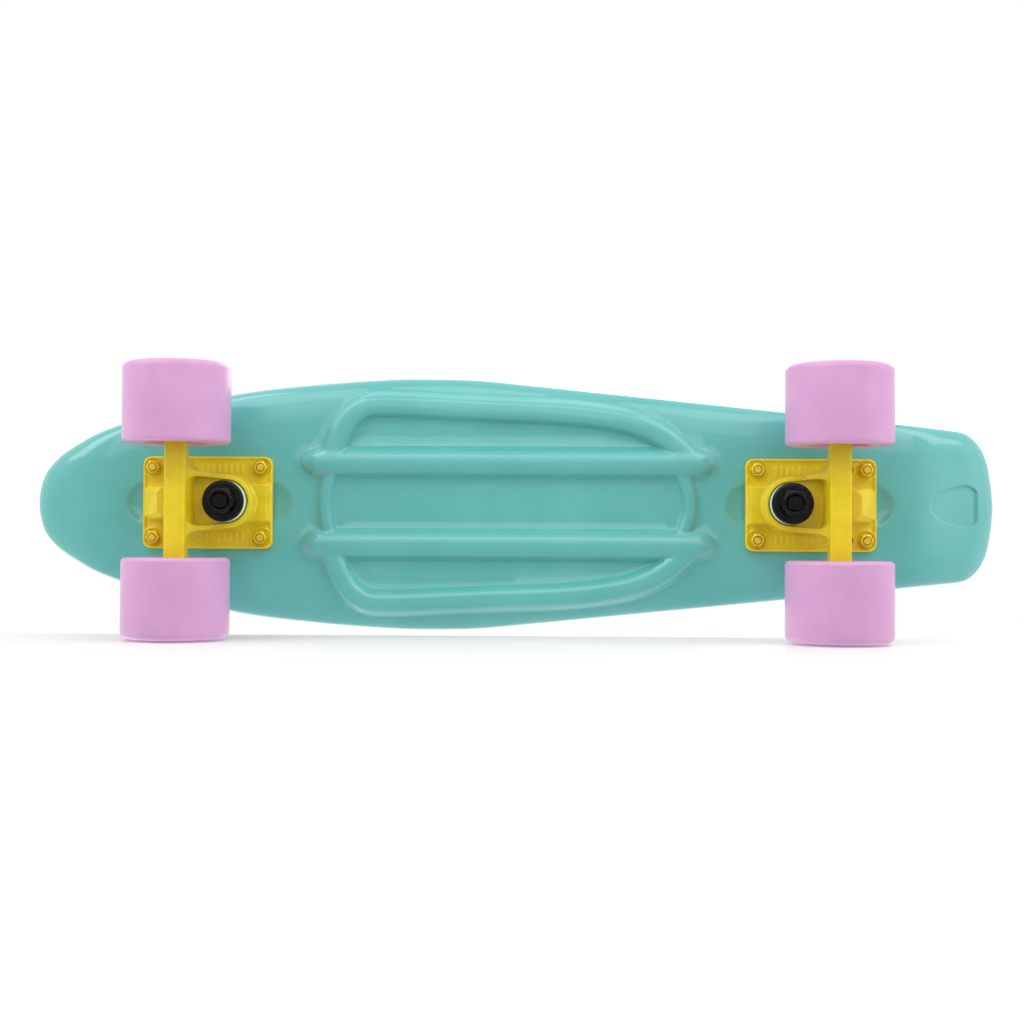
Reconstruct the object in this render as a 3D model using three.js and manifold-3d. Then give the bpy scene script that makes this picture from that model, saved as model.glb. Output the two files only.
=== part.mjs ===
// Cruiser skateboard with a moulded plastic deck and two kingpin trucks.
// Millimetres, +Z up, +X towards the nose, standing on its wheels with the ground at z = 0.

import * as THREE from 'three';
import { mergeVertices, toCreasedNormals } from 'three/addons/utils/BufferGeometryUtils.js';
import Module from 'manifold-3d';

const wasm = await Module();
wasm.setup();

// Deck body
const deckLength = 574.7;
const deckWidth = 149;
const deckThickness = 12;
const widestLineRise = 7;
const bellyRound = 18;
const rimRound = 4.5;
const noseKickRun = 55;
const noseKickRise = 8;
const tailKickRun = 62;
const tailKickRise = 18;
const kickBlend = 26;

// Deck ribs and recesses
const ribSpacing = 48.6;
const ribHalfWidth = 9.2;
const ribHeight = 6.5;
const ribNoseClear = 15;
const ribTailClear = 15.5;
const ribTaper = 10;
const ridgeSink = 4;
const archHalfWidth = 7.6;
const archHeight = 5.5;
const crossBandHalfWidth = 3.6;
const crossBandHeight = 3.8;
const noseBandBow = 3.8;
const tailBandBow = 7;
const truckPocketHalfLength = 49.2;
const truckPocketHalfWidth = 12.3;
const truckPocketDepth = 2.4;
const tailMarkLength = 33.7;
const tailMarkWidth = 25;
const tailMarkSetback = 11.8;
const tailMarkDeepEnd = 2;
const tailMarkShallowEnd = 0.8;

// Wheels, bearings and axle
const wheelDiameter = 60;
const wheelWidth = 45;
const wheelEdgeRound = 3.8;
const wheelMouthRadius = 17;
const wheelTrack = 109;
const bearingOuterDiameter = 22;
const bearingWidth = 7;
const bearingShieldDish = 0.5;
const bearingSpacing = 10;
const bearingSeatLip = 2.5;
const spacerOuterDiameter = 11;
const axleDiameter = 7.94;
const axleEndChamfer = 0.9;
const speedWasherDiameter = 12.7;
const speedWasherThickness = 0.9;
const axleNutAcross = 12.7;
const axleNutHeight = 6.4;
const axleNutCollar = 1.8;
const axleEndReach = 1.2;

// Truck position under the deck
const noseOverhang = 106.15;
const tailOverhang = 114.15;
const axleDrop = 48.75;
const axleLead = 8.1;

// Baseplate
const plateLength = 76.4;
const plateWidth = 54.2;
const plateThickness = 4;
const plateCornerRadius = 4.4;
const plateRimWidth = 1.5;
const plateRimHeight = 0.7;
const boltInset = 6.45;
const spareHoleShift = 9.5;
const kingpinInset = 21.7;
const kingpinSeatHeight = 10.4;
const kingpinSeatRadius = 13;
const kingpinBandHalfWidth = 10.7;
const kingpinBandCorner = 0.7;
const bossInset = 0.2;
const bossDraft = 2.2;
const pivotInset = 16.2;
const pivotHeight = 10.5;
const pivotBossHalfWidth = 8.6;
const pivotBossHeight = 18;
const pivotBossTopLength = 9;
const pivotBossCorner = 3;

// Kingpin stack
const kingpinDiameter = 9.5;
const kingpinHeadAcross = 14.3;
const kingpinHeadHeight = 6;
const kingpinNutAcross = 14.3;
const kingpinNutHeight = 7;
const kingpinNutCollar = 2;
const kingpinReach = 1;
const nutCollarRound = 0.6;
const cupWasherClear = 0.2;
const cupWasherThickness = 1.5;
const cupWasherLip = 1.2;
const cupWasherFlare = 0.6;
const cupWasherLipWall = 0.35;
const bushingRadius = 11.8;
const bushingWaist = 0.7;
const bushingNoseRadius = 8;
const bushingNoseHeight = 2.2;
const bushingShoulderShare = 0.25;
const boardsideBushingHeight = 12.6;
const roadsideBushingHeight = 10.6;

// Hanger
const yokeRadius = 15.1;
const yokeWall = 2.5;
const yokeWebThickness = 5;
const yokeRimHeight = 3.2;
const yokeSideSpread = 18;
const yokeFlare = 2.8;
const yokeRiseRun = 5.6;
const yokeRiseTopDrop = 3.2;
const pocketSideInset = 3.75;
const beamWidth = 12;
const beamDepth = 10.6;
const beamEdge = 1.6;
const pocketCorner = 5;
const pivotPinRadius = 4.2;
const pivotPinReach = 5.5;
const pivotRootRadius = 6.6;
const pivotRootLength = 4;
const neckHalfWidth = 6.6;
const neckBushingClear = 2;
const neckKnee = 7.5;
const neckPinLap = 1.5;

// Pivot cup
const pivotCupWall = 1.7;
const pivotCupMouth = 4;

// Mounting hardware
const mountBoltDiameter = 4.8;
const mountBoltHeadDiameter = 9.2;
const mountBoltHeadHeight = 2.4;
const mountBoltReach = 0.8;
const mountNutAcross = 7;
const mountNutHeight = 5;

// Clearances
const seatGap = 0.2;
const runningGap = 0.3;
const fitGap = 0.15;
const cutOverrun = 5;
const weldDistance = 0.0001;
const sliverLimit = 0.004;

// Facet counts
const outlineStations = 44;
const outlineSamples = 240;
const wheelSides = 20;
const smallSides = 10;
const nutSides = 10;
const bearingSides = 12;
const roundSides = 14;
const archSteps = 16;
const bandSteps = 4;
const pocketSides = 12;
const yokeSteps = 10;
const riseSteps = 5;
const tipSteps = 3;
const edgeSteps = 2;
const creaseAngle = Math.PI / 6;

// The outline follows the deck from the nose tip to the tail tip,
// as shares of half the length and half the width.
const outlineShares = [
	[ 1, 0 ], [ 0.9866, 0.228 ], [ 0.9535, 0.372 ], [ 0.91, 0.479 ], [ 0.8665, 0.564 ],
	[ 0.72, 0.744 ], [ 0.5725, 0.8765 ], [ 0.4055, 0.953 ], [ 0.24, 0.996 ], [ 0.157, 1 ],
	[ 0.073, 0.9906 ], [ - 0.009, 0.961 ], [ - 0.174, 0.8966 ], [ - 0.3395, 0.832 ],
	[ - 0.545, 0.7517 ], [ - 0.7935, 0.6523 ], [ - 0.88, 0.6205 ], [ - 0.92, 0.6065 ],
	[ - 0.9365, 0.592 ], [ - 0.9525, 0.556 ], [ - 0.9668, 0.503 ], [ - 0.9778, 0.438 ],
	[ - 0.9862, 0.362 ], [ - 0.9925, 0.26 ], [ - 0.9982, 0.11 ], [ - 1, 0 ],
];

// Middle line of one raised arch, from rib to rib, as shares of half the ribs' length
// and of the deck's half width
const archShares = [
	[ 0.8545, 0.33 ], [ 0.827, 0.45 ], [ 0.79, 0.597 ], [ 0.737, 0.711 ],
	[ 0.6646, 0.777 ], [ 0.5636, 0.7866 ], [ 0.2907, 0.768 ], [ 0.0353, 0.748 ],
	[ - 0.2433, 0.729 ], [ - 0.4407, 0.697 ], [ - 0.6032, 0.642 ], [ - 0.7426, 0.534 ],
	[ - 0.853, 0.38 ],
];
const noseBandShare = 0.8368;
const tailBandShare = - 0.8053;

// Section of every ridge, across and down, as shares of its half width and height;
// the sunk corners reach up into the deck.
const ridgeSectionShares = [
	[ - 1, 0 ], [ - 0.84, 0.45 ], [ - 0.6, 0.9 ], [ 0, 1 ], [ 0.6, 0.9 ], [ 0.84, 0.45 ], [ 1, 0 ],
];

// Places of the sections along the blunt end of a straight rib, as shares of its taper
const ribEndShares = [ 0, 0.08, 0.3, 0.62, 1 ];

// Edge of the shield-shaped recess, from its deep end, as shares of its length and half width
const tailMarkShares = [
	[ 0, 0.6 ], [ 0.06, 0.8 ], [ 0.248, 1 ], [ 0.43, 0.94 ], [ 0.72, 0.74 ], [ 0.94, 0.38 ], [ 1, 0 ],
];

// How far in from the deck's edge its rows of points lie, as shares of each edge's round
const bellyRowShares = [ 0, 0.05, 0.17, 0.38, 0.68, 1 ];
const rimRowShares = [ 0, 0.13, 0.45, 1 ];

const truckHeight = axleDrop + wheelDiameter / 2;
const mountHeight = truckHeight + seatGap;
const halfLength = deckLength / 2;
const halfWidth = deckWidth / 2;
const wheelCentre = wheelTrack / 2;
const frontTruckX = halfLength - noseOverhang;
const rearTruckX = tailOverhang - halfLength;
const kingpinLead = kingpinInset - plateLength / 2;
const pivotLead = plateLength / 2 - pivotInset;
const boltSpanLength = plateLength - 2 * boltInset;
const boltSpanWidth = plateWidth - 2 * boltInset;
const ribNoseEnd = frontTruckX - plateLength / 2 - ribNoseClear;
const ribTailEnd = rearTruckX + plateLength / 2 + ribTailClear;
const ribCentre = ( ribNoseEnd + ribTailEnd ) / 2;
const ribHalfLength = ( ribNoseEnd - ribTailEnd ) / 2;

const plastic = { color: 0x65b3ad, roughness: 0.28, metalness: 0 };
const yellowPaint = { color: 0xe8c835, roughness: 0.35, metalness: 0.1 };
const pinkUrethane = { color: 0xd5a0cd, roughness: 0.3, metalness: 0 };
const mintUrethane = { color: 0xcfeee6, roughness: 0.4, metalness: 0 };
const blackOxide = { color: 0x1d1109, roughness: 0.4, metalness: 0.8 };
const zincSteel = { color: 0xc9b25a, roughness: 0.35, metalness: 0.9 };
const plainSteel = { color: 0xb9bcc0, roughness: 0.3, metalness: 0.95 };

// Solids

function toSolid( geometry ) {

	const bare = new THREE.BufferGeometry();
	bare.setAttribute( 'position', geometry.getAttribute( 'position' ) );
	bare.setIndex( geometry.getIndex() );
	const welded = mergeVertices( bare, weldDistance );
	const triVerts = [];
	const index = welded.getIndex().array;
	for ( let i = 0; i < index.length; i += 3 ) {

		const [ a, b, c ] = [ index[ i ], index[ i + 1 ], index[ i + 2 ] ];
		if ( a !== b && b !== c && c !== a ) triVerts.push( a, b, c );

	}

	return new wasm.Manifold( new wasm.Mesh( {
		numProp: 3,
		vertProperties: new Float32Array( welded.getAttribute( 'position' ).array ),
		triVerts: new Uint32Array( triVerts ),
	} ) );

}

function fuse( ...solids ) {

	return solids.reduce( ( sum, solid ) => sum.add( solid ) );

}

function cut( body, ...tools ) {

	return tools.reduce( ( rest, tool ) => rest.subtract( tool ), body );

}

function toGeometry( solid ) {

	const { vertProperties, triVerts } = solid.simplify( sliverLimit ).getMesh();
	const geometry = new THREE.BufferGeometry();
	geometry.setAttribute( 'position', new THREE.BufferAttribute( vertProperties, 3 ) );
	geometry.setIndex( new THREE.BufferAttribute( triVerts, 1 ) );
	return toCreasedNormals( geometry, creaseAngle );

}

function part( name, solid, finish ) {

	const mesh = new THREE.Mesh( toGeometry( solid ), new THREE.MeshStandardMaterial( finish ) );
	mesh.name = name;
	return mesh;

}

// A polygon of n sides that stays outside a circle needs its corners further out.

function aroundCircle( radius, sides ) {

	return radius / Math.cos( Math.PI / sides );

}

function hexCorner( across ) {

	return aroundCircle( across / 2, 6 );

}

function turned( profile, sides, start = 0 ) {

	const points = profile.map( ( [ r, h ] ) => new THREE.Vector2( r, h ) );
	return new THREE.LatheGeometry( points, sides, start );

}

// Turned about Z, from a profile of radius and height

function turnedUpright( profile, sides, start = 0 ) {

	return turned( profile, sides, start ).rotateX( Math.PI / 2 );

}

function rod( radius, from, to, sides ) {

	return turnedUpright( [ [ 0, from ], [ radius, from ], [ radius, to ], [ 0, to ] ], sides );

}

function rodAt( radius, from, to, sides, x, y ) {

	return toSolid( rod( radius, from, to, sides ).translate( x, y, 0 ) );

}

// Side faces between rings of points, each ring running anticlockwise seen from the first one

function skin( rings ) {

	const count = rings[ 0 ].length;
	const corners = [];
	const push = ( ...points ) => points.forEach( ( p ) => corners.push( p.x, p.y, p.z ) );
	for ( let i = 0; i < rings.length - 1; i ++ ) {

		for ( let j = 0; j < count; j ++ ) {

			const next = ( j + 1 ) % count;
			const [ a, b ] = [ rings[ i ][ j ], rings[ i ][ next ] ];
			const [ d, c ] = [ rings[ i + 1 ][ j ], rings[ i + 1 ][ next ] ];
			push( a, d, c, a, c, b );

		}

	}

	const last = rings[ rings.length - 1 ];
	for ( let j = 1; j < count - 1; j ++ ) {

		push( rings[ 0 ][ 0 ], rings[ 0 ][ j ], rings[ 0 ][ j + 1 ] );
		push( last[ 0 ], last[ j + 1 ], last[ j ] );

	}

	const geometry = new THREE.BufferGeometry();
	geometry.setAttribute( 'position', new THREE.Float32BufferAttribute( corners, 3 ) );
	return toSolid( mergeVertices( geometry, weldDistance ) );

}

function extruded( shape, depth, curveSegments = edgeSteps ) {

	return new THREE.ExtrudeGeometry( shape, { depth, bevelEnabled: false, curveSegments } );

}

// A profile drawn in X and Z, as wide as asked and centred on Y = 0

function sideProfile( points, width ) {

	const shape = new THREE.Shape( points.map( ( [ x, z ] ) => new THREE.Vector2( x, z ) ) );
	return toSolid( extruded( shape, width ).rotateX( Math.PI / 2 ).translate( 0, width / 2, 0 ) );

}

// Deck

function deckOutline() {

	const half = outlineShares.map( ( [ x, y ] ) =>
		new THREE.Vector3( x * halfLength, y * halfWidth, 0 ) );
	const otherHalf = half.slice( 1, - 1 ).reverse().map( ( p ) =>
		new THREE.Vector3( p.x, - p.y, 0 ) );
	return new THREE.CatmullRomCurve3( [ ...half, ...otherHalf ], true );

}

function kick( past, run, rise ) {

	const slope = rise / ( run - kickBlend / 2 );
	if ( past <= 0 ) return 0;
	if ( past < kickBlend ) return slope * past * past / ( 2 * kickBlend );
	return slope * ( past - kickBlend / 2 );

}

function kickRise( x ) {

	const nose = kick( x - ( halfLength - noseKickRun ), noseKickRun, noseKickRise );
	const tail = kick( - x - ( halfLength - tailKickRun ), tailKickRun, tailKickRise );
	return nose + tail;

}

function distanceToOutline( x, y, rim ) {

	const point = new THREE.Vector3( x, y, 0 );
	const nearest = new THREE.Vector3();
	const side = new THREE.Line3();
	let least = Infinity;
	for ( let i = 0; i < rim.length; i ++ ) {

		side.set( rim[ i ], rim[ ( i + 1 ) % rim.length ] );
		side.closestPointToPoint( point, true, nearest );
		least = Math.min( least, nearest.distanceTo( point ) );

	}

	return least;

}

// Quarter of an ellipse: nothing at the edge, one where the round ends

function roundOff( distance, round ) {

	const left = Math.max( 0, 1 - distance / round );
	return Math.sqrt( 1 - left * left );

}

function acrossDeck( reach, rowShares, round ) {

	const squeeze = Math.min( 1, reach / ( round + rimRound ) );
	const rows = rowShares.map( ( share ) => reach - share * round * squeeze );
	return [ ...rows, 0, ...rows.map( ( y ) => - y ).reverse() ];

}

function deckSection( x, reach, rim ) {

	const base = mountHeight + kickRise( x );
	const edge = base + widestLineRise;
	const top = acrossDeck( reach, rimRowShares, rimRound ).map( ( y ) => {

		const rounded = roundOff( distanceToOutline( x, y, rim ), rimRound );
		return new THREE.Vector3( x, y, edge + ( deckThickness - widestLineRise ) * rounded );

	} );
	const belly = acrossDeck( reach, bellyRowShares, bellyRound ).reverse().map( ( y ) => {

		const rounded = roundOff( distanceToOutline( x, y, rim ), bellyRound );
		return new THREE.Vector3( x, y, base + widestLineRise * ( 1 - rounded ) );

	} );
	top[ 0 ].z = edge;
	top[ top.length - 1 ].z = edge;
	return [ ...top, ...belly.slice( 1, - 1 ) ];

}

function deckBlank() {

	const curve = deckOutline();
	const rim = curve.getSpacedPoints( outlineSamples ).slice( 0, - 1 );
	const stations = curve.getSpacedPoints( 2 * outlineStations ).slice( 0, outlineStations + 1 );
	stations[ 0 ].set( halfLength, 0, 0 );
	stations[ outlineStations ].set( - halfLength, 0, 0 );
	return skin( stations.map( ( { x, y } ) => deckSection( x, y, rim ) ) );

}

// A ridge of half-oval section along a plan curve, running from nose to tail.
// Each step along it is a place on the curve and the size of the section there.

function ridge( steps, ridgeHalfWidth, height ) {

	return skin( steps.map( ( { place, tangent, size } ) => {

		const across = new THREE.Vector3( tangent.y, - tangent.x, 0 ).setLength( ridgeHalfWidth * size );
		const at = ( side, depth ) =>
			place.clone().addScaledVector( across, side ).setZ( mountHeight - depth * size );
		const sunk = [ at( 1, - ridgeSink ), at( - 1, - ridgeSink ) ];
		return [ ...sunk, ...ridgeSectionShares.map( ( [ side, share ] ) => at( side, share * height ) ) ];

	} ) );

}

function straightRib( side ) {

	const step = ( x, share ) => ( {
		place: new THREE.Vector3( x, side * ribSpacing / 2, 0 ),
		tangent: new THREE.Vector3( - 1, 0, 0 ),
		size: roundOff( share, 1 ),
	} );
	const nose = ribEndShares.map( ( share ) => step( ribNoseEnd - share * ribTaper, share ) );
	const tail = ribEndShares.map( ( share ) => step( ribTailEnd + share * ribTaper, share ) ).reverse();
	return ridge( [ ...nose, ...tail ], ribHalfWidth, ribHeight );

}

function planRidge( points, count, ridgeHalfWidth, height ) {

	const curve = new THREE.CatmullRomCurve3( points );
	const steps = Array.from( { length: count + 1 }, ( _, i ) => ( {
		place: curve.getPointAt( i / count ),
		tangent: curve.getTangentAt( i / count ),
		size: 1,
	} ) );
	return ridge( steps, ridgeHalfWidth, height );

}

function arch( side ) {

	const points = archShares.map( ( [ x, y ] ) =>
		new THREE.Vector3( ribCentre + x * ribHalfLength, side * y * halfWidth, 0 ) );
	return planRidge( points, archSteps, archHalfWidth, archHeight );

}

function crossBand( share, bow ) {

	const x = ribCentre + share * ribHalfLength;
	const reach = ribSpacing / 2;
	const points = [ [ x, reach ], [ x + bow, 0 ], [ x, - reach ] ];
	const path = points.map( ( [ px, py ] ) => new THREE.Vector3( px, py, 0 ) );
	return planRidge( path, bandSteps, crossBandHalfWidth, crossBandHeight );

}

// Shallow slot under each baseplate, showing as a half moon past each end of the plate

function truckPocket( x ) {

	const round = truckPocketHalfWidth;
	const length = 2 * ( truckPocketHalfLength - round );
	const geometry = new THREE.CapsuleGeometry( round, length, tipSteps, pocketSides );
	geometry.rotateZ( Math.PI / 2 ).scale( 1, 1, truckPocketDepth / round );
	return toSolid( geometry.translate( x, 0, mountHeight ) );

}

// Shield-shaped recess in the underside of the tail, its floor dipping towards the deck's end

function tailMark() {

	const edge = tailMarkShares.map( ( [ x, y ] ) =>
		new THREE.Vector2( x * tailMarkLength, y * tailMarkWidth / 2 ) );
	const otherEdge = edge.slice( 0, - 1 ).reverse().map( ( p ) => new THREE.Vector2( p.x, - p.y ) );
	const depth = tailMarkDeepEnd + cutOverrun;
	const geometry = extruded( new THREE.Shape( [ ...edge, ...otherEdge ] ), depth );
	const dip = Math.atan( ( tailMarkDeepEnd - tailMarkShallowEnd ) / tailMarkLength );
	const slope = Math.atan( tailKickRise / ( tailKickRun - kickBlend / 2 ) );
	const x = - halfLength + tailMarkSetback;
	geometry.translate( 0, 0, - cutOverrun ).rotateY( slope + dip );
	return toSolid( geometry.translate( x, 0, mountHeight + kickRise( x ) ) );

}

function boltPlaces() {

	const [ x, y ] = [ boltSpanLength / 2, boltSpanWidth / 2 ];
	return [ [ x, y ], [ x, - y ], [ - x, - y ], [ - x, y ] ];

}

function deckBoltHole( x, y ) {

	const hole = aroundCircle( mountBoltDiameter / 2 + fitGap, smallSides );
	const head = aroundCircle( mountBoltHeadDiameter / 2 + fitGap, smallSides );
	const top = mountHeight + deckThickness;
	const seat = top - mountBoltHeadHeight - fitGap;
	const profile = [
		[ 0, mountHeight - cutOverrun ], [ hole, mountHeight - cutOverrun ], [ hole, seat ],
		[ head, top - fitGap ], [ head, top + cutOverrun ], [ 0, top + cutOverrun ],
	];
	return toSolid( turnedUpright( profile, smallSides ).translate( x, y, 0 ) );

}

function makeDeck() {

	const ridges = [ 1, - 1 ].flatMap( ( side ) => [ straightRib( side ), arch( side ) ] );
	const bands = [ crossBand( noseBandShare, noseBandBow ), crossBand( tailBandShare, - tailBandBow ) ];
	const holes = [ frontTruckX, rearTruckX ].flatMap( ( truckX ) =>
		boltPlaces().map( ( [ x, y ] ) => deckBoltHole( truckX + x, y ) ) );
	const pockets = [ frontTruckX, rearTruckX ].map( truckPocket );
	const body = fuse( deckBlank(), ...ridges, ...bands );
	return part( 'deck', cut( body, ...pockets, tailMark(), ...holes ), plastic );

}

// Truck
// Each truck is built in its own frame: z is the distance below the deck, x points to the deck's end.

const washerSeat = kingpinSeatHeight + seatGap;
const boardsideBushingFrom = washerSeat + cupWasherThickness + seatGap;
const webFrom = boardsideBushingFrom + boardsideBushingHeight + seatGap;
const webTo = webFrom + yokeWebThickness;
const roadsideBushingFrom = webTo + seatGap;
const roadsideWasherFrom = roadsideBushingFrom + roadsideBushingHeight + seatGap;
const kingpinNutFrom = roadsideWasherFrom + cupWasherThickness + seatGap;
const kingpinEnd = kingpinNutFrom + kingpinNutHeight + kingpinReach;
const steeringAngle = Math.atan2( ( webFrom + webTo ) / 2 - pivotHeight, pivotLead - kingpinLead );

// Quarter circle from the axis to the full radius, for a rounded tip and the hollow that takes it

function roundTip( radius ) {

	return Array.from( { length: tipSteps + 1 }, ( _, i ) => {

		const angle = i / tipSteps * Math.PI / 2;
		return [ radius * Math.sin( angle ), - radius * Math.cos( angle ) ];

	} );

}

// Turns a solid drawn about Z so that it lies about the steering axis, zero at the pivot point

function alongSteeringAxis( geometry ) {

	return geometry.rotateY( steeringAngle - Math.PI / 2 ).translate( pivotLead, 0, pivotHeight );

}

function onSteeringAxis( along, off ) {

	const [ c, s ] = [ Math.cos( steeringAngle ), Math.sin( steeringAngle ) ];
	return [ pivotLead - along * c + off * s, pivotHeight + along * s + off * c ];

}

function roundedRectangle( length, width, radius ) {

	const [ x, y ] = [ length / 2, width / 2 ];
	const shape = new THREE.Shape();
	shape.moveTo( x, - y + radius );
	shape.absarc( x - radius, y - radius, radius, 0, Math.PI / 2 );
	shape.absarc( - x + radius, y - radius, radius, Math.PI / 2, Math.PI );
	shape.absarc( - x + radius, - y + radius, radius, Math.PI, 1.5 * Math.PI );
	shape.absarc( x - radius, - y + radius, radius, 1.5 * Math.PI, 2 * Math.PI );
	return shape;

}

// A boss with drafted sides between two outlines of the same count of corners

function draftedBoss( foot, top, from, to ) {

	const ring = ( outline, z ) => outline.map( ( [ x, y ] ) => new THREE.Vector3( x, y, z ) );
	return skin( [ ring( top, to ), ring( foot, from ) ] );

}

function chamferedBox( x0, x1, half, corner ) {

	return [
		[ x1, - half + corner ], [ x1, half - corner ], [ x1 - corner, half ], [ x0 + corner, half ],
		[ x0, half - corner ], [ x0, - half + corner ], [ x0 + corner, - half ], [ x1 - corner, - half ],
	];

}

function kingpinSeat() {

	const end = - plateLength / 2 + bossInset;
	const band = draftedBoss(
		chamferedBox( end, kingpinLead, kingpinBandHalfWidth + bossDraft, kingpinBandCorner ),
		chamferedBox( end + bossDraft, kingpinLead, kingpinBandHalfWidth, kingpinBandCorner ),
		0, kingpinSeatHeight - bossDraft / 2 );
	const seat = turnedUpright( [
		[ 0, 0 ], [ kingpinSeatRadius + bossDraft, 0 ],
		[ kingpinSeatRadius, kingpinSeatHeight ], [ 0, kingpinSeatHeight ],
	], roundSides );
	return fuse( band, toSolid( seat.translate( kingpinLead, 0, 0 ) ) );

}

function pivotBoss() {

	const width = 2 * ( pivotBossHalfWidth + bossDraft );
	const mouthHeight = onSteeringAxis( pivotCupMouth, 0 )[ 1 ];
	const slant = ( z ) =>
		onSteeringAxis( pivotCupMouth, ( z - mouthHeight ) / Math.cos( steeringAngle ) )[ 0 ];
	const topFrom = slant( pivotBossHeight );
	const topTo = topFrom + pivotBossTopLength;
	const end = plateLength / 2 - bossInset;
	const side = sideProfile( [
		[ slant( 0 ), 0 ], [ end, 0 ], [ end, plateThickness + plateRimHeight ],
		[ topTo, pivotBossHeight ], [ topFrom, pivotBossHeight ],
	], width );
	const drafted = draftedBoss(
		chamferedBox( slant( 0 ) - bossDraft, end + bossDraft, pivotBossHalfWidth + bossDraft, bossDraft ),
		chamferedBox( slant( 0 ) - bossDraft, topTo, pivotBossHalfWidth, pivotBossCorner ),
		0, pivotBossHeight );
	return side.intersect( drafted );

}

function pivotCupBore() {

	const radius = aroundCircle( pivotPinRadius + fitGap + pivotCupWall + fitGap, roundSides );
	const depth = pivotPinRadius + fitGap + pivotCupWall + fitGap;
	return toSolid( alongSteeringAxis( rod( radius, - depth, pivotCupMouth + cutOverrun, roundSides ) ) );

}

function makeBaseplate( name ) {

	const slab = toSolid( extruded( roundedRectangle( plateLength, plateWidth, plateCornerRadius ),
		plateThickness + plateRimHeight, tipSteps ) );
	const field = toSolid( extruded( roundedRectangle( plateLength - 2 * plateRimWidth,
		plateWidth - 2 * plateRimWidth, plateCornerRadius - plateRimWidth ), cutOverrun )
		.translate( 0, 0, plateThickness ) );
	const hole = aroundCircle( mountBoltDiameter / 2 + fitGap, smallSides );
	const spares = [ 1, - 1 ].map( ( side ) =>
		[ boltSpanLength / 2 - spareHoleShift, side * boltSpanWidth / 2 ] );
	const holes = [ ...boltPlaces(), ...spares ].map( ( [ x, y ] ) =>
		rodAt( hole, - cutOverrun, plateThickness + cutOverrun, smallSides, x, y ) );
	const kingpinHole = rodAt( aroundCircle( kingpinDiameter / 2 + fitGap, roundSides ),
		- cutOverrun, kingpinSeatHeight + cutOverrun, roundSides, kingpinLead, 0 );
	const headPocket = rodAt( hexCorner( kingpinHeadAcross + 2 * fitGap ),
		- cutOverrun, kingpinHeadHeight + seatGap, 6, kingpinLead, 0 );
	const body = fuse( cut( slab, field ), kingpinSeat(), pivotBoss() );
	return part( name, cut( body, ...holes, kingpinHole, headPocket, pivotCupBore() ), yellowPaint );

}

function makePivotCup( name ) {

	const bore = pivotPinRadius + fitGap;
	const outer = bore + pivotCupWall;
	const hollow = roundTip( aroundCircle( bore, roundSides ) );
	const profile = [
		[ 0, - outer ], [ outer, - outer ], [ outer, pivotCupMouth ],
		[ hollow[ hollow.length - 1 ][ 0 ], pivotCupMouth ], ...hollow.reverse(),
	];
	return part( name, toSolid( alongSteeringAxis( turnedUpright( profile, roundSides ) ) ), mintUrethane );

}

// Outline of the yoke or of its pocket: an arc round the kingpin and two sides spreading to the beam

function yokeOutline( radius, spread, end, corner ) {

	const [ run, base ] = [ end - kingpinLead, Math.atan2( spread, end - kingpinLead ) ];
	const turn = base + Math.acos( radius / Math.hypot( run, spread ) );
	const shape = new THREE.Shape();
	shape.moveTo( end, - spread + corner );
	shape.lineTo( end, spread - corner );
	shape.quadraticCurveTo( end, spread, end - corner, spread );
	shape.absarc( kingpinLead, 0, radius, turn, 2 * Math.PI - turn );
	shape.lineTo( end - corner, - spread );
	shape.quadraticCurveTo( end, - spread, end, - spread + corner );
	return shape;

}

function upright( shape, from, to, segments ) {

	return toSolid( extruded( shape, to - from, segments ).translate( 0, 0, from ) );

}

function makeYoke() {

	const beamFace = axleLead - beamWidth / 2;
	const rimTop = webTo + yokeRimHeight;
	const start = new THREE.Vector2( kingpinLead + yokeRadius / 2, rimTop );
	const bend = new THREE.Vector2( beamFace - yokeRiseRun, rimTop );
	const end = new THREE.Vector2( beamFace, axleDrop + beamDepth / 2 - yokeRiseTopDrop );
	const rise = new THREE.QuadraticBezierCurve( start, bend, end ).getPoints( riseSteps );
	const beamUnder = axleDrop - beamDepth / 2;
	const side = sideProfile( [
		[ kingpinLead - 2 * yokeRadius, webFrom ], [ beamFace, webFrom ], [ axleLead, beamUnder ],
		[ axleLead, end.y ], ...rise.map( ( p ) => [ p.x, p.y ] ).reverse(),
		[ kingpinLead - 2 * yokeRadius, rimTop ],
	], 2 * ( yokeSideSpread + yokeFlare ) );
	const plan = upright( yokeOutline( yokeRadius, yokeSideSpread, axleLead, beamEdge ),
		webFrom - cutOverrun, axleDrop + beamDepth, yokeSteps );
	return side.intersect( plan );

}

// Solid neck between yoke, beam and pivot pin, narrowing towards the pin

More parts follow.
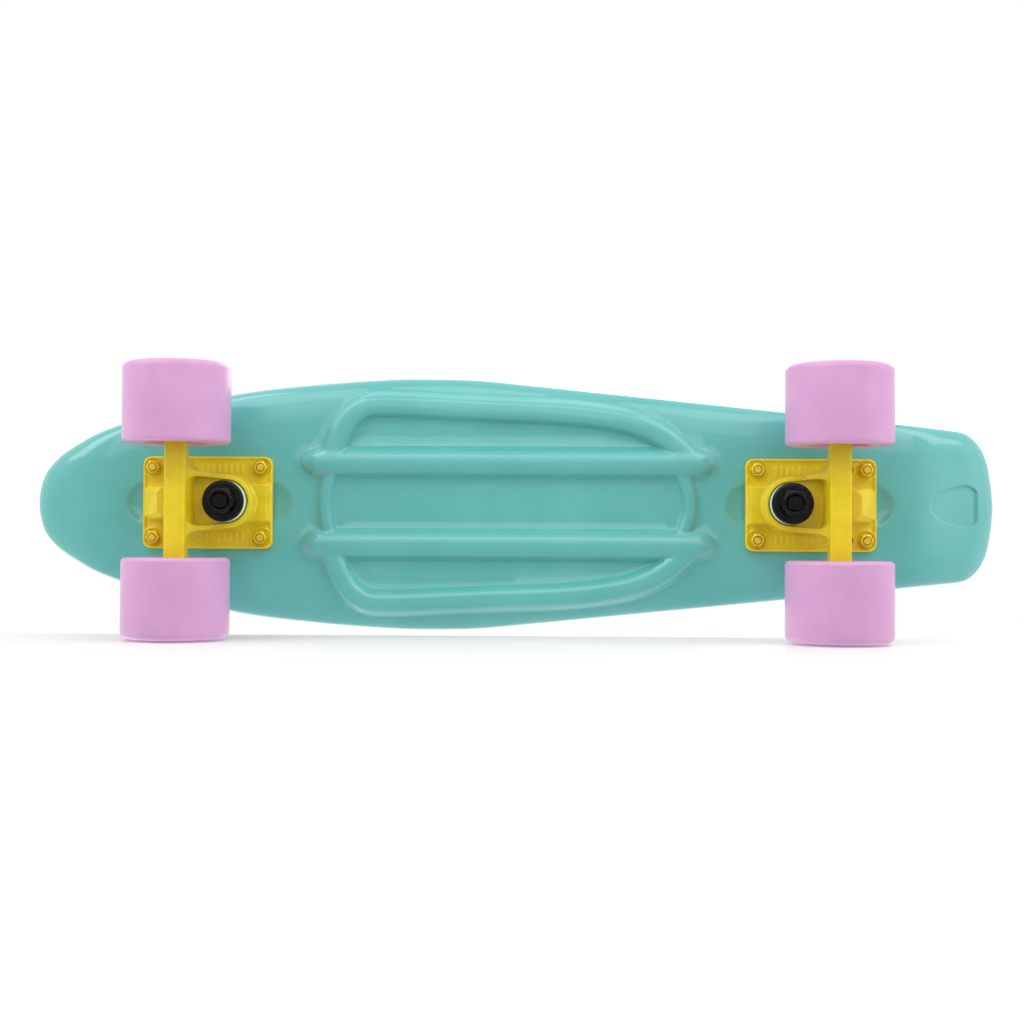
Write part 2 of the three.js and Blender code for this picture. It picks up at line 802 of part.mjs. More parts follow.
function makeNeck() {

	const beamFace = axleLead - beamWidth / 2;
	const beamUnder = axleDrop - beamDepth / 2;
	const side = sideProfile( [
		[ kingpinLead + bushingRadius + neckBushingClear, webFrom ],
		[ beamFace, webFrom - neckKnee ],
		onSteeringAxis( pivotPinReach + neckPinLap, - pivotPinRadius ),
		onSteeringAxis( pivotPinReach + neckPinLap, pivotPinRadius ),
		[ axleLead + beamWidth / 2, beamUnder ],
		[ axleLead + beamWidth / 2, axleDrop ],
		[ beamFace, axleDrop ],
		[ beamFace, webTo ],
		[ kingpinLead + bushingRadius + neckBushingClear, webTo ],
	], 2 * yokeSideSpread );
	const front = new THREE.Shape( [
		[ - neckHalfWidth, 0 ], [ neckHalfWidth, 0 ], [ neckHalfWidth, pivotHeight + neckHalfWidth ],
		[ yokeSideSpread, beamUnder ], [ yokeSideSpread, axleDrop + beamDepth ],
		[ - yokeSideSpread, axleDrop + beamDepth ], [ - yokeSideSpread, beamUnder ],
		[ - neckHalfWidth, pivotHeight + neckHalfWidth ],
	].map( ( [ y, z ] ) => new THREE.Vector2( y, z ) ) );
	const frontSolid = extruded( front, plateLength ).rotateX( Math.PI / 2 ).rotateZ( Math.PI / 2 );
	return side.intersect( toSolid( frontSolid.translate( - plateLength / 2, 0, 0 ) ) );

}

function makeBeam( reach ) {

	const [ x, z, e ] = [ beamWidth / 2, beamDepth / 2, beamEdge ];
	const section = [
		[ - x + e, - z ], [ x - e, - z ], [ x, - z + e ], [ x, z - e ],
		[ x - e, z ], [ - x + e, z ], [ - x, z - e ], [ - x, - z + e ],
	];
	return sideProfile( section.map( ( [ px, pz ] ) => [ axleLead + px, axleDrop + pz ] ), 2 * reach );

}

function makePivotPin() {

	const r = pivotPinRadius;
	const root = pivotPinReach + pivotRootLength;
	const profile = [ ...roundTip( r ), [ r, pivotPinReach ], [ pivotRootRadius, root ], [ 0, root ] ];
	return toSolid( alongSteeringAxis( turnedUpright( profile, roundSides ) ) );

}

const bearingInnerFace = wheelCentre - bearingSpacing / 2 - bearingWidth;
const bearingOuterFace = wheelCentre + bearingSpacing / 2 + bearingWidth;
const hangerReach = bearingInnerFace - speedWasherThickness - 2 * fitGap;

function makeHanger( name ) {

	const beamFace = axleLead - beamWidth / 2;
	const pocketSpread = yokeSideSpread - pocketSideInset;
	const pocket = upright( yokeOutline( yokeRadius - yokeWall, pocketSpread, beamFace, pocketCorner ),
		webTo, axleDrop + beamDepth, yokeSteps );
	const webHole = rodAt( aroundCircle( bushingNoseRadius + runningGap, roundSides ),
		webFrom - cutOverrun, webTo + cutOverrun, roundSides, kingpinLead, 0 );
	const bore = toSolid( rod( aroundCircle( axleDiameter / 2 + fitGap, roundSides ),
		- hangerReach - cutOverrun, hangerReach + cutOverrun, roundSides )
		.rotateX( Math.PI / 2 ).translate( axleLead, 0, axleDrop ) );
	const body = cut( fuse( makeYoke(), makeNeck() ), pocket, webHole );
	return part( name, cut( fuse( body, makeBeam( hangerReach ), makePivotPin() ), bore ), yellowPaint );

}

function makeKingpin( name ) {

	const head = rod( hexCorner( kingpinHeadAcross ), seatGap, kingpinHeadHeight, 6 );
	const shank = rod( kingpinDiameter / 2, kingpinHeadHeight / 2, kingpinEnd, roundSides );
	const solid = fuse( toSolid( head ), toSolid( shank ) );
	const mesh = part( name, solid, blackOxide );
	mesh.position.x = kingpinLead;
	return mesh;

}

// Hex nut with a round locking collar, its seat at z = 0

function lockNut( across, height, collar, bore ) {

	const corner = hexCorner( across );
	const hex = rod( corner, 0, height - collar, 6 );
	const top = turnedUpright( [
		[ 0, 0 ], [ across / 2, 0 ], [ across / 2, height - nutCollarRound ],
		[ across / 2 - nutCollarRound, height ], [ 0, height ],
	], nutSides );
	const hole = rod( aroundCircle( bore + fitGap, nutSides ), - cutOverrun, height + cutOverrun, nutSides );
	return cut( fuse( toSolid( hex ), toSolid( top ) ), toSolid( hole ) );

}

function makeKingpinNut( name ) {

	const solid = lockNut( kingpinNutAcross, kingpinNutHeight, kingpinNutCollar, kingpinDiameter / 2 );
	const mesh = part( name, solid, blackOxide );
	mesh.position.set( kingpinLead, 0, kingpinNutFrom );
	return mesh;

}

// Dished washer whose lip reaches over the bushing; lip is 1 away from the deck and -1 towards it

function makeCupWasher( name, from, lip ) {

	const bore = aroundCircle( kingpinDiameter / 2 + fitGap, roundSides );
	const flat = bushingRadius - bushingWaist + cupWasherClear;
	const rim = flat + cupWasherFlare;
	const high = cupWasherThickness;
	const cup = [
		[ bore, 0 ], [ flat, 0 ], [ rim, high ], [ rim, high + cupWasherLip ],
		[ rim - cupWasherLipWall, high + cupWasherLip ], [ flat + fitGap, high ], [ bore, high ],
		[ bore, 0 ],
	];
	const geometry = turnedUpright( cup, roundSides );
	if ( lip < 0 ) geometry.rotateX( Math.PI ).translate( 0, 0, high );
	const mesh = part( name, toSolid( geometry ), blackOxide );
	mesh.position.set( kingpinLead, 0, from );
	return mesh;

}

// Barrel bushing with a nose that locates it in the yoke's hole

function makeBushing( name, from, height, nose ) {

	const bore = aroundCircle( kingpinDiameter / 2 + fitGap, roundSides );
	const waist = bushingRadius - bushingWaist;
	const profile = [
		[ bore, 0 ], [ waist, 0 ], [ bushingRadius, height * bushingShoulderShare ],
		[ bushingRadius, height * ( 1 - bushingShoulderShare ) ],
		[ waist, height ], [ bushingNoseRadius, height ],
		[ bushingNoseRadius - bushingWaist, height + bushingNoseHeight ],
		[ bore, height + bushingNoseHeight ], [ bore, 0 ],
	];
	const geometry = turnedUpright( profile, roundSides );
	if ( nose < 0 ) geometry.rotateX( Math.PI ).translate( 0, 0, height );
	const mesh = part( name, toSolid( geometry ), mintUrethane );
	mesh.position.set( kingpinLead, 0, from );
	return mesh;

}

function makeMountBolt( name, x, y ) {

	const top = - deckThickness;
	const end = plateThickness + seatGap + mountNutHeight + mountBoltReach;
	const [ head, shank ] = [ mountBoltHeadDiameter / 2, mountBoltDiameter / 2 ];
	const profile = [
		[ 0, top ], [ head, top ], [ shank, top + mountBoltHeadHeight ], [ shank, end ], [ 0, end ],
	];
	const mesh = part( name, toSolid( turnedUpright( profile, smallSides ) ), zincSteel );
	mesh.position.set( x, y, 0 );
	return mesh;

}

function makeMountNut( name, x, y ) {

	const hex = rod( hexCorner( mountNutAcross ), 0, mountNutHeight, 6 );
	const bore = aroundCircle( mountBoltDiameter / 2 + fitGap, smallSides );
	const hole = rod( bore, - cutOverrun, mountNutHeight + cutOverrun, smallSides );
	const mesh = part( name, cut( toSolid( hex ), toSolid( hole ) ), zincSteel );
	mesh.position.set( x, y, plateThickness + seatGap );
	return mesh;

}

// Axle with the inner speed washers pressed on as collars

function makeAxle( name ) {

	const r = axleDiameter / 2;
	const end = bearingOuterFace + speedWasherThickness + axleNutHeight + axleEndReach;
	const collarTo = bearingInnerFace - fitGap;
	const collarFrom = collarTo - speedWasherThickness;
	const half = [
		[ r, collarFrom ], [ speedWasherDiameter / 2, collarFrom ], [ speedWasherDiameter / 2, collarTo ],
		[ r, collarTo ], [ r, end - axleEndChamfer ], [ r - axleEndChamfer, end ], [ 0, end ],
	];
	const mirrored = half.map( ( [ radius, y ] ) => [ radius, - y ] ).reverse();
	const mesh = part( name, toSolid( turned( [ ...mirrored, ...half ], nutSides ) ), plainSteel );
	mesh.position.set( axleLead, 0, axleDrop );
	return mesh;

}

function makeWheel( name ) {

	const tread = aroundCircle( wheelDiameter / 2, wheelSides );
	const half = wheelWidth / 2;
	const seat = aroundCircle( bearingOuterDiameter / 2 + fitGap, wheelSides );
	const seatTo = bearingSpacing / 2 + bearingWidth;
	const shoulder = bearingOuterDiameter / 2 - bearingSeatLip;
	const round = Array.from( { length: edgeSteps + 1 }, ( _, i ) => {

		const angle = i / edgeSteps * Math.PI / 2;
		return [
			tread - wheelEdgeRound * ( 1 - Math.cos( angle ) ),
			half - wheelEdgeRound * ( 1 - Math.sin( angle ) ),
		];

	} );
	const side = [
		...round, [ wheelMouthRadius, half ], [ seat, seatTo ],
		[ seat, bearingSpacing / 2 - fitGap ], [ shoulder, bearingSpacing / 2 - fitGap ],
	];
	const otherSide = side.map( ( [ r, y ] ) => [ r, - y ] ).reverse();
	const profile = [ ...side, ...otherSide, side[ 0 ] ];
	return part( name, toSolid( turned( profile, wheelSides, Math.PI / wheelSides ) ), pinkUrethane );

}

function makeBearing( name ) {

	const bore = aroundCircle( axleDiameter / 2 + fitGap, bearingSides );
	const [ outer, half ] = [ bearingOuterDiameter / 2, bearingWidth / 2 ];
	const shield = ( bore + outer ) / 2;
	const dish = half - bearingShieldDish;
	const profile = [
		[ bore, - half ], [ shield, - dish ], [ outer, - half ],
		[ outer, half ], [ shield, dish ], [ bore, half ], [ bore, - half ],
	];
	return part( name, toSolid( turned( profile, bearingSides ) ), plainSteel );

}

function makeSpacer( name ) {

	const bore = aroundCircle( axleDiameter / 2 + fitGap, smallSides );
	const [ outer, half ] = [ spacerOuterDiameter / 2, bearingSpacing / 2 - fitGap ];
	const profile = [
		[ bore, - half ], [ outer, - half ], [ outer, half ], [ bore, half ], [ bore, - half ],
	];
	return part( name, toSolid( turned( profile, smallSides ) ), plainSteel );

}

// Axle nut with the outer speed washer on its seat

function makeAxleNut( name ) {

	const nut = lockNut( axleNutAcross, axleNutHeight, axleNutCollar, axleDiameter / 2 );
	const washer = rod( speedWasherDiameter / 2 + fitGap, 0, speedWasherThickness, nutSides );
	const hole = rod( aroundCircle( axleDiameter / 2 + fitGap, nutSides ),
		- cutOverrun, axleNutHeight + cutOverrun, nutSides );
	return part( name, cut( fuse( toSolid( washer ), nut ), toSolid( hole ) ), plainSteel );

}

// Everything that turns on one end of an axle; side is 1 or -1 along the truck's own Y

function makeWheelSet( prefix, side ) {

	const set = new THREE.Group();
	const offset = ( bearingSpacing + bearingWidth ) / 2;
	const nut = makeAxleNut( `${ prefix }_axle_nut` );
	nut.rotation.x = - side * Math.PI / 2;
	const places = [
		[ makeWheel( `${ prefix }_wheel` ), wheelCentre ],
		[ makeBearing( `${ prefix }_inner_bearing` ), wheelCentre - offset ],
		[ makeBearing( `${ prefix }_outer_bearing` ), wheelCentre + offset ],
		[ makeSpacer( `${ prefix }_bearing_spacer` ), wheelCentre ],
		[ nut, bearingOuterFace + fitGap ],
	];
	for ( const [ mesh, y ] of places ) {

		mesh.position.y = side * y;
		set.add( mesh );

	}

	set.position.set( axleLead, 0, axleDrop );
	return set;

}

function makeTruck( prefix, leftSide ) {

	const truck = new THREE.Group();
	truck.add( makeBaseplate( `${ prefix }_baseplate` ), makePivotCup( `${ prefix }_pivot_cup` ) );
	truck.add( makeKingpin( `${ prefix }_kingpin` ), makeKingpinNut( `${ prefix }_kingpin_nut` ) );
	truck.add( makeCupWasher( `${ prefix }_boardside_washer`, washerSeat, 1 ) );
	truck.add( makeBushing( `${ prefix }_boardside_bushing`,
		boardsideBushingFrom, boardsideBushingHeight, 1 ) );
	truck.add( makeBushing( `${ prefix }_roadside_bushing`,
		roadsideBushingFrom, roadsideBushingHeight, - 1 ) );
	truck.add( makeCupWasher( `${ prefix }_roadside_washer`, roadsideWasherFrom, - 1 ) );
	truck.add( makeHanger( `${ prefix }_hanger` ), makeAxle( `${ prefix }_axle` ) );
	boltPlaces().forEach( ( [ x, y ], i ) => {

		truck.add( makeMountBolt( `${ prefix }_mount_bolt_${ i + 1 }`, x, y ) );
		truck.add( makeMountNut( `${ prefix }_mount_nut_${ i + 1 }`, x, y ) );

	} );
	truck.add( makeWheelSet( `${ prefix }_left`, leftSide ) );
	truck.add( makeWheelSet( `${ prefix }_right`, - leftSide ) );
	return truck;

}

const skateboard = new THREE.Group();
skateboard.add( makeDeck() );

const frontTruck = makeTruck( 'front', - 1 );
frontTruck.rotation.x = Math.PI;
frontTruck.position.set( frontTruckX, 0, truckHeight );
skateboard.add( frontTruck );

const rearTruck = makeTruck( 'rear', 1 );
rearTruck.rotation.y = Math.PI;
rearTruck.position.set( rearTruckX, 0, truckHeight );
skateboard.add( rearTruck );

export default skateboard;
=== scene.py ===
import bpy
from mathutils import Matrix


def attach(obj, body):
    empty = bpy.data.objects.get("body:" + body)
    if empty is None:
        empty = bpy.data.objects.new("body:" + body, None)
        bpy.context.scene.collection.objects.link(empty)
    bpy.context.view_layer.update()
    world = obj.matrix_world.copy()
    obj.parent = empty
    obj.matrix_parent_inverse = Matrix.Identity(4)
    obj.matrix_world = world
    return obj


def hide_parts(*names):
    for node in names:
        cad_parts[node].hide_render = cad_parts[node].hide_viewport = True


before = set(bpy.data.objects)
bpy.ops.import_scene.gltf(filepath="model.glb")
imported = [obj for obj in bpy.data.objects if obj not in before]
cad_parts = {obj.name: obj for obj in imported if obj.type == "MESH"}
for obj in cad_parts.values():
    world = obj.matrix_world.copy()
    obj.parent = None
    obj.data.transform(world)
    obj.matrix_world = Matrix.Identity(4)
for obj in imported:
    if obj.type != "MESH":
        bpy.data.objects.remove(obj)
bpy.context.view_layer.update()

import math

import bmesh
import bpy
import numpy as np
from mathutils import Matrix, Vector
from mathutils.geometry import delaunay_2d_cdt

print("frame loaded")

mm = 0.001
bpy.context.scene.view_settings.view_transform = "Standard"


# Colours are written as sRGB hex and turned to linear here
def linear(hexText):
    channels = [int(hexText[i:i + 2], 16) / 255 for i in (0, 2, 4)]
    return [c / 12.92 if c <= 0.04045 else ((c + 0.055) / 1.055) ** 2.4 for c in channels] + [1]


# Adds one node. Settings name its properties or sockets, links name the sockets they feed.
def addNode(tree, kind, settings={}, links={}):
    node = tree.nodes.new(kind)
    for name, value in settings.items():
        if isinstance(name, str) and hasattr(node, name):
            setattr(node, name, value)
        else:
            node.inputs[name].default_value = value
    for name, source in links.items():
        tree.links.new(source, node.inputs[name])
    return node


def emptyTree(owner):
    owner.use_nodes = True
    owner.node_tree.nodes.clear()
    return owner.node_tree


def newMaterial(name, shaderSettings):
    material = bpy.data.materials.new(name)
    tree = emptyTree(material)
    shader = addNode(tree, "ShaderNodeBsdfPrincipled", shaderSettings)
    addNode(tree, "ShaderNodeOutputMaterial", links={"Surface": shader.outputs[0]})
    return material, tree, shader


# A value spread from one span to another
def ranged(tree, source, values, span=(0, 1)):
    return addNode(tree, "ShaderNodeMapRange", {
        "From Min": span[0], "From Max": span[1], "To Min": values[0], "To Max": values[1]},
        {"Value": source}).outputs[0]


def maths(tree, operation, first, second):
    return addNode(tree, "ShaderNodeMath", {"operation": operation}, {0: first, 1: second}).outputs[0]


# Camera

camera = {
    "place": (-15.54, -22.58, -826.69),   # mm, under the board and a little below its middle line
    "lens": 53.97, "sensor": 36,          # mm
    "tilt": 0.0198,                       # radians about the picture's right, up and far directions
    "swing": 0.0192,
    "roll": -0.0048,
    "clip": (0.01, 20),                   # m
}


def makeCamera():
    data = bpy.data.cameras.new("photoCamera")
    data.lens = camera["lens"]
    data.sensor_width = camera["sensor"]
    data.clip_start, data.clip_end = camera["clip"]
    item = bpy.data.objects.new("photoCamera", data)
    bpy.context.collection.objects.link(item)
    # rows: the picture's right, up and far directions, squared up and then turned a little
    square = Matrix(((-1, 0, 0), (0, 1, 0), (0, 0, 1)))
    turnX, turnY, turnZ = [Matrix.Rotation(camera[turn], 3, axis)
                           for turn, axis in (("tilt", "X"), ("swing", "Y"), ("roll", "Z"))]
    right, up, far = (turnZ @ turnY @ turnX) @ square
    rows = [(right[i], up[i], -far[i], camera["place"][i] * mm) for i in range(3)]
    item.matrix_world = Matrix(rows + [(0, 0, 0, 1)])
    bpy.context.scene.camera = item


makeCamera()
print("camera placed")


# Stage and light

stage = {
    "floorHalf": 3.0,            # m, half width of the floor under the wheels
    "photoFloorDrop": -78.2,     # mm, the white table that the board stands on edge on
    "photoFloorNear": -700,      # mm, its end at the photo's camera
    "photoFloorFar": 84,         # mm, ends behind the deck's lower edge
    "photoFloorSide": 2200,      # mm
    "standingLook": ("f4f4f4", 0.03, 0.28),   # colour, share of mirror, glow of each floor
    "photoLook": ("e1e1e1", 0.1, 0),
    "mirrorRoughness": 0.12,
    "ambient": 1.65,             # plain shading light from all round the board
    "dimShade": 0.38,            # the same from behind the photo's camera
    "topShade": 0.62,            # and from above the deck
    "dimRoom": 0.5,              # how bright the room behind the photo's camera looks in reflections
    "roomSpan": (-0.9, 0.1),     # directions' Z over which that room turns to white backdrop
    "topSpan": (0.1, 0.6),       # directions' Z over which light from the side turns to light from above
}

lamps = [
    # name, place in m, size in m, watts, colour; each looks at the board's middle
    ("frontSoftbox", (0.0, 0.85, -0.85), (1.8, 0.5), 4.2, "fffdf8"),
    ("tailSoftbox", (-1.0, 0.2, -0.45), (0.5, 0.8), 0.4, "fbfdff"),
    ("lowSoftbox", (0.0, 0.42, -1.05), (1.8, 0.5), 2.2, "fffdf8"),
    ("noseStrip", (0.75, 0.75, -0.4), (0.9, 0.3), 2.4, "ffffff"),
    ("tailStrip", (-0.75, 0.75, -0.4), (0.9, 0.3), 1.8, "ffffff"),
    ("standingSoftbox", (-0.5, 0.6, 1.5), (1.2, 1.2), 7, "fffdf8"),
    ("standingFill", (0.9, -0.9, 0.8), (0.9, 0.9), 2, "fbfdff"),
]


# White for the camera. Shading light is even, but dimmer from below, where the photo's camera is,
# and from above. Reflections show a white backdrop that turns to a dimmer room behind that camera.
def makeWorld():
    world = bpy.data.worlds.new("studioWhite")
    bpy.context.scene.world = world
    tree = emptyTree(world)
    path = addNode(tree, "ShaderNodeLightPath")
    towards = addNode(tree, "ShaderNodeSeparateXYZ", {},
                      {0: addNode(tree, "ShaderNodeTexCoord").outputs["Generated"]}).outputs["Z"]
    reflected = ranged(tree, towards, (stage["dimRoom"], 1), stage["roomSpan"])
    shaded = ranged(tree, towards, (stage["dimShade"], stage["ambient"]), stage["roomSpan"])
    above = ranged(tree, towards, (stage["ambient"], stage["topShade"]), stage["topSpan"])
    shading = addNode(tree, "ShaderNodeMapRange", {}, {
        "Value": path.outputs["Is Glossy Ray"], "To Min": maths(tree, "MINIMUM", shaded, above),
        "To Max": reflected})
    seen = maths(tree, "MAXIMUM", path.outputs["Is Camera Ray"], path.outputs["Is Transmission Ray"])
    strength = addNode(tree, "ShaderNodeMapRange", {"To Max": 1.0},
                       {"Value": seen, "To Min": shading.outputs[0]})
    light = addNode(tree, "ShaderNodeBackground", {"Color": (1, 1, 1, 1)},
                    {"Strength": strength.outputs[0]})
    addNode(tree, "ShaderNodeOutputWorld", links={"Surface": light.outputs[0]})


def makeLamps():
    for name, place, size, watts, colour in lamps:
        data = bpy.data.lights.new(name, "AREA")
        data.shape = "RECTANGLE"
        data.size, data.size_y = size
        data.energy = watts
        data.color = linear(colour)[:3]
        item = bpy.data.objects.new(name, data)
        item.location = place
        item.rotation_euler = (-Vector(place)).to_track_quat("-Z", "Y").to_euler()
        item.visible_camera = False
        bpy.context.collection.objects.link(item)


# A floor is seen by the camera from its upper side only and stops no light
def makeFloor(name, corners, look):
    colour, gloss, glow = look
    mesh = bpy.data.meshes.new(name)
    mesh.from_pydata(corners, [], [(0, 1, 2, 3)])
    item = bpy.data.objects.new(name, mesh)
    bpy.context.collection.objects.link(item)
    material = bpy.data.materials.new(name + "Board")
    tree = emptyTree(material)
    upperSide = ranged(tree, addNode(tree, "ShaderNodeNewGeometry").outputs["Backfacing"], (1, 0))
    toCamera = addNode(tree, "ShaderNodeLightPath").outputs["Is Camera Ray"]
    shown = maths(tree, "MULTIPLY", toCamera, upperSide)
    plain = addNode(tree, "ShaderNodeBsdfDiffuse", {"Color": linear(colour)})
    mirror = addNode(tree, "ShaderNodeBsdfGlossy", {"Roughness": stage["mirrorRoughness"]})
    mixed = addNode(tree, "ShaderNodeMixShader", {0: gloss}, {1: plain.outputs[0], 2: mirror.outputs[0]})
    glowing = addNode(tree, "ShaderNodeEmission", {"Strength": glow})
    lit = addNode(tree, "ShaderNodeAddShader", {}, {0: mixed.outputs[0], 1: glowing.outputs[0]})
    clear = addNode(tree, "ShaderNodeBsdfTransparent")
    both = addNode(tree, "ShaderNodeMixShader", {},
                   {0: shown, 1: clear.outputs[0], 2: lit.outputs[0]})
    addNode(tree, "ShaderNodeOutputMaterial", links={"Surface": both.outputs[0]})
    mesh.materials.append(material)


def makeStage():
    half = stage["floorHalf"]
    makeFloor("standingFloor", [(-half, -half, 0), (half, -half, 0), (half, half, 0), (-half, half, 0)],
              stage["standingLook"])
    side, drop, near, far = [stage["photoFloor" + end] * mm for end in ("Side", "Drop", "Near", "Far")]
    makeFloor("photoFloor", [(-side, drop, near), (-side, drop, far), (side, drop, far), (side, drop, near)],
              stage["photoLook"])


makeWorld()
makeLamps()
makeStage()
print("stage and lamps made")


# Mesh helpers. Solids are drawn in mm and become metres when a piece is made.

def newPiece(name, verts, faces):
    mesh = bpy.data.meshes.new(name)
    mesh.from_pydata([tuple(v) for v in verts], [], faces)
    mesh.validate()
    piece = bpy.data.objects.new(name, mesh)
    bpy.context.collection.objects.link(piece)
    return piece


def applyModifiers(piece):
    shape = piece.evaluated_get(bpy.context.evaluated_depsgraph_get())
    mesh = bpy.data.meshes.new_from_object(shape)
    piece.modifiers.clear()
    old, piece.data = piece.data, mesh
    bpy.data.meshes.remove(old)
    return piece


def combine(piece, others, operation):
    for other in others:
        step = piece.modifiers.new(other.name, "BOOLEAN")
        step.operation = operation
        step.solver = "MANIFOLD"
        step.object = other
    applyModifiers(piece)
    for other in others:
        bpy.data.objects.remove(other)
    return piece


# Turns the faces outward; welding first joins the points on the axis and fills open ends
def outward(piece, weld=False):
    form = bmesh.new()
    form.from_mesh(piece.data)
    if weld:
        bmesh.ops.remove_doubles(form, verts=form.verts, dist=1e-5)
        bmesh.ops.holes_fill(form, edges=form.edges)
    bmesh.ops.recalc_face_normals(form, faces=form.faces)
    form.to_mesh(piece.data)
    form.free()
    return piece


# Rings of points joined by side faces, with flat ends, or closed on itself
def loft(name, rings, closed=False):
    count = len(rings[0])
    verts = [p for ring in rings for p in ring]
    faces = []
    spans = len(rings) if closed else len(rings) - 1
    for i in range(spans):
        a, b = i * count, (i + 1) % len(rings) * count
        faces += [(a + j, a + (j + 1) % count, b + (j + 1) % count, b + j) for j in range(count)]
    if not closed:
        faces.append(tuple(reversed(range(count))))
        faces.append(tuple(range(len(verts) - count, len(verts))))
    return outward(newPiece(name, verts, faces))


def prism(name, outline, low, high):
    return loft(name, [[(x, y, z) for x, y in outline] for z in (low, high)])


# Turned about Z from a profile of radius and height. It starts and ends on the axis, or is closed
# and makes a ring.
def turned(name, profile, sides, closed=False):
    angles = [2 * math.pi * i / sides for i in range(sides)]
    rings = [[(r * math.cos(a), r * math.sin(a), h) for r, h in profile] for a in angles]
    if closed:
        return loft(name, rings, closed=True)
    count = len(profile)
    faces = []
    for i in range(sides):
        a, b = i * count, (i + 1) % sides * count
        faces += [(a + j, b + j, b + j + 1, a + j + 1) for j in range(count - 1)]
    return outward(newPiece(name, [p for ring in rings for p in ring], faces), weld=True)


# Points of a curve from start to end, with the corner as its control point
def cornerCurve(start, corner, end, count):
    return [tuple(start * (1 - t) ** 2 + corner * 2 * t * (1 - t) + end * t ** 2)
            for t in np.arange(count + 1) / count]


# Corners of a profile or outline become small curves; radii is one number or one for each corner
def rounded(points, radii, steps=3, closed=False):
    count = len(points)
    if not hasattr(radii, "__len__"):
        radii = [radii] * count
    made = []
    for i, (point, radius) in enumerate(zip(points, radii)):
        if radius <= 0 or (not closed and i in (0, count - 1)):
            made.append(tuple(point))
            continue
        corner = Vector(point)
        before = Vector(points[i - 1]) - corner
        after = Vector(points[(i + 1) % count]) - corner
        reach = min(radius, before.length * 0.49, after.length * 0.49)
        start, end = corner + before.normalized() * reach, corner + after.normalized() * reach
        made += cornerCurve(start, corner, end, steps)
    return made


def roundedBox(length, width, radius, steps=5):
    x, y = length / 2, width / 2
    return rounded([(x, -y), (x, y), (-x, y), (-x, -y)], radius, steps, closed=True)


# Points of an arc round a middle from one angle to another
def arcPoints(x, y, along, across, start, end, count):
    return [(x + along * math.cos(a), y + across * math.sin(a)) for a in np.linspace(start, end, count)]


def hexagon(across):
    corner = across / 2 / math.cos(math.pi / 6)
    return [(corner * math.cos(math.pi / 3 * i), corner * math.sin(math.pi / 3 * i)) for i in range(6)]


# Half an outline and the same below Y = 0, back to its start
def mirrored(half):
    return half + [(x, -y) for x, y in reversed(half) if abs(y) > 1e-6]


def moved(piece, matrix):
    piece.data.transform(matrix)
    return piece


def upAt(piece, x, y=0, z=0):
    return moved(piece, Matrix.Translation((x, y, z)))


# Remeshes a casting and smooths it, which rounds its edges and fills its inner corners
def castRound(piece, voxel, rounds):
    step = piece.modifiers.new("voxels", "REMESH")
    step.mode = "VOXEL"
    step.voxel_size = voxel
    soft = piece.modifiers.new("soft", "SMOOTH")
    soft.factor = 0.5
    soft.iterations = rounds
    return applyModifiers(piece)


# Finishes a mesh: metres, smooth shading with sharp edges over an angle, its material
def finishMesh(piece, material, sharpAngle=40):
    mesh = piece.data
    mesh.transform(Matrix.Scale(mm, 4))
    mesh.polygons.foreach_set("use_smooth", [True] * len(mesh.polygons))
    mesh.set_sharp_from_angle(angle=math.radians(sharpAngle))
    mesh.materials.clear()
    mesh.materials.append(material)
    mesh.update()
    bpy.data.objects.remove(piece)
    return mesh


# Pieces are named after their nodes: front_left_wheel is frontLeftWheel. These endings differ.
pieceEndings = {"baseplate": "baseplate_casting", "hanger": "hanger_casting", "bearing_spacer": "spacer",
                "deck": "deck_moulding"}


def pieceName(node):
    for ending, shown in pieceEndings.items():
        if node.endswith(ending):
            node = node.removesuffix(ending) + shown
    first, *rest = node.split("_")
    return first + "".join(word.capitalize() for word in rest)


# One mesh shown at a place, riding on its body and standing for its CAD node
def showPiece(mesh, node, matrix, body):
    item = bpy.data.objects.new(pieceName(node), mesh)
    bpy.context.collection.objects.link(item)
    item.matrix_world = matrix
    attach(item, body)
    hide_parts(node)


# Materials

def ownPlace(tree):
    return addNode(tree, "ShaderNodeTexCoord").outputs["Object"]


# Noise with clouds of a size in metres, fixed to the piece
def clouds(tree, size, detail):
    return addNode(tree, "ShaderNodeTexNoise", {"Scale": 1 / size, "Detail": detail},
                   {"Vector": ownPlace(tree)}).outputs["Fac"]


def tintBy(tree, shader, source, low, high, positions=(0.3, 0.7)):
    ramp = addNode(tree, "ShaderNodeValToRGB", {}, {"Fac": source})
    for i, colour in enumerate((low, high)):
        ramp.color_ramp.elements[i].position = positions[i]
        ramp.color_ramp.elements[i].color = linear(colour)
    tree.links.new(ramp.outputs[0], shader.inputs["Base Color"])


def roughBy(tree, shader, source, smooth, rough):
    tree.links.new(ranged(tree, source, (smooth, rough)), shader.inputs["Roughness"])


def bumpBy(tree, shader, source, strength, distance):
    bump = addNode(tree, "ShaderNodeBump", {"Strength": strength, "Distance": distance}, {"Height": source})
    tree.links.new(bump.outputs[0], shader.inputs["Normal"])


# Injection-moulded polypropylene: an even wet gloss with faint flow clouds and a very fine skin
def glossyPolypropylene():
    material, tree, shader = newMaterial("mouldedPolypropyleneTeal", {
        "IOR": 1.49, "Coat Weight": 1.0, "Coat Roughness": 0.08})
    tintBy(tree, shader, clouds(tree, 0.045, 3), "56b1ad", "60b9b5")
    roughBy(tree, shader, clouds(tree, 0.012, 5), 0.2, 0.3)
    bumpBy(tree, shader, clouds(tree, 0.0016, 2), 0.12, 0.00006)
    return material


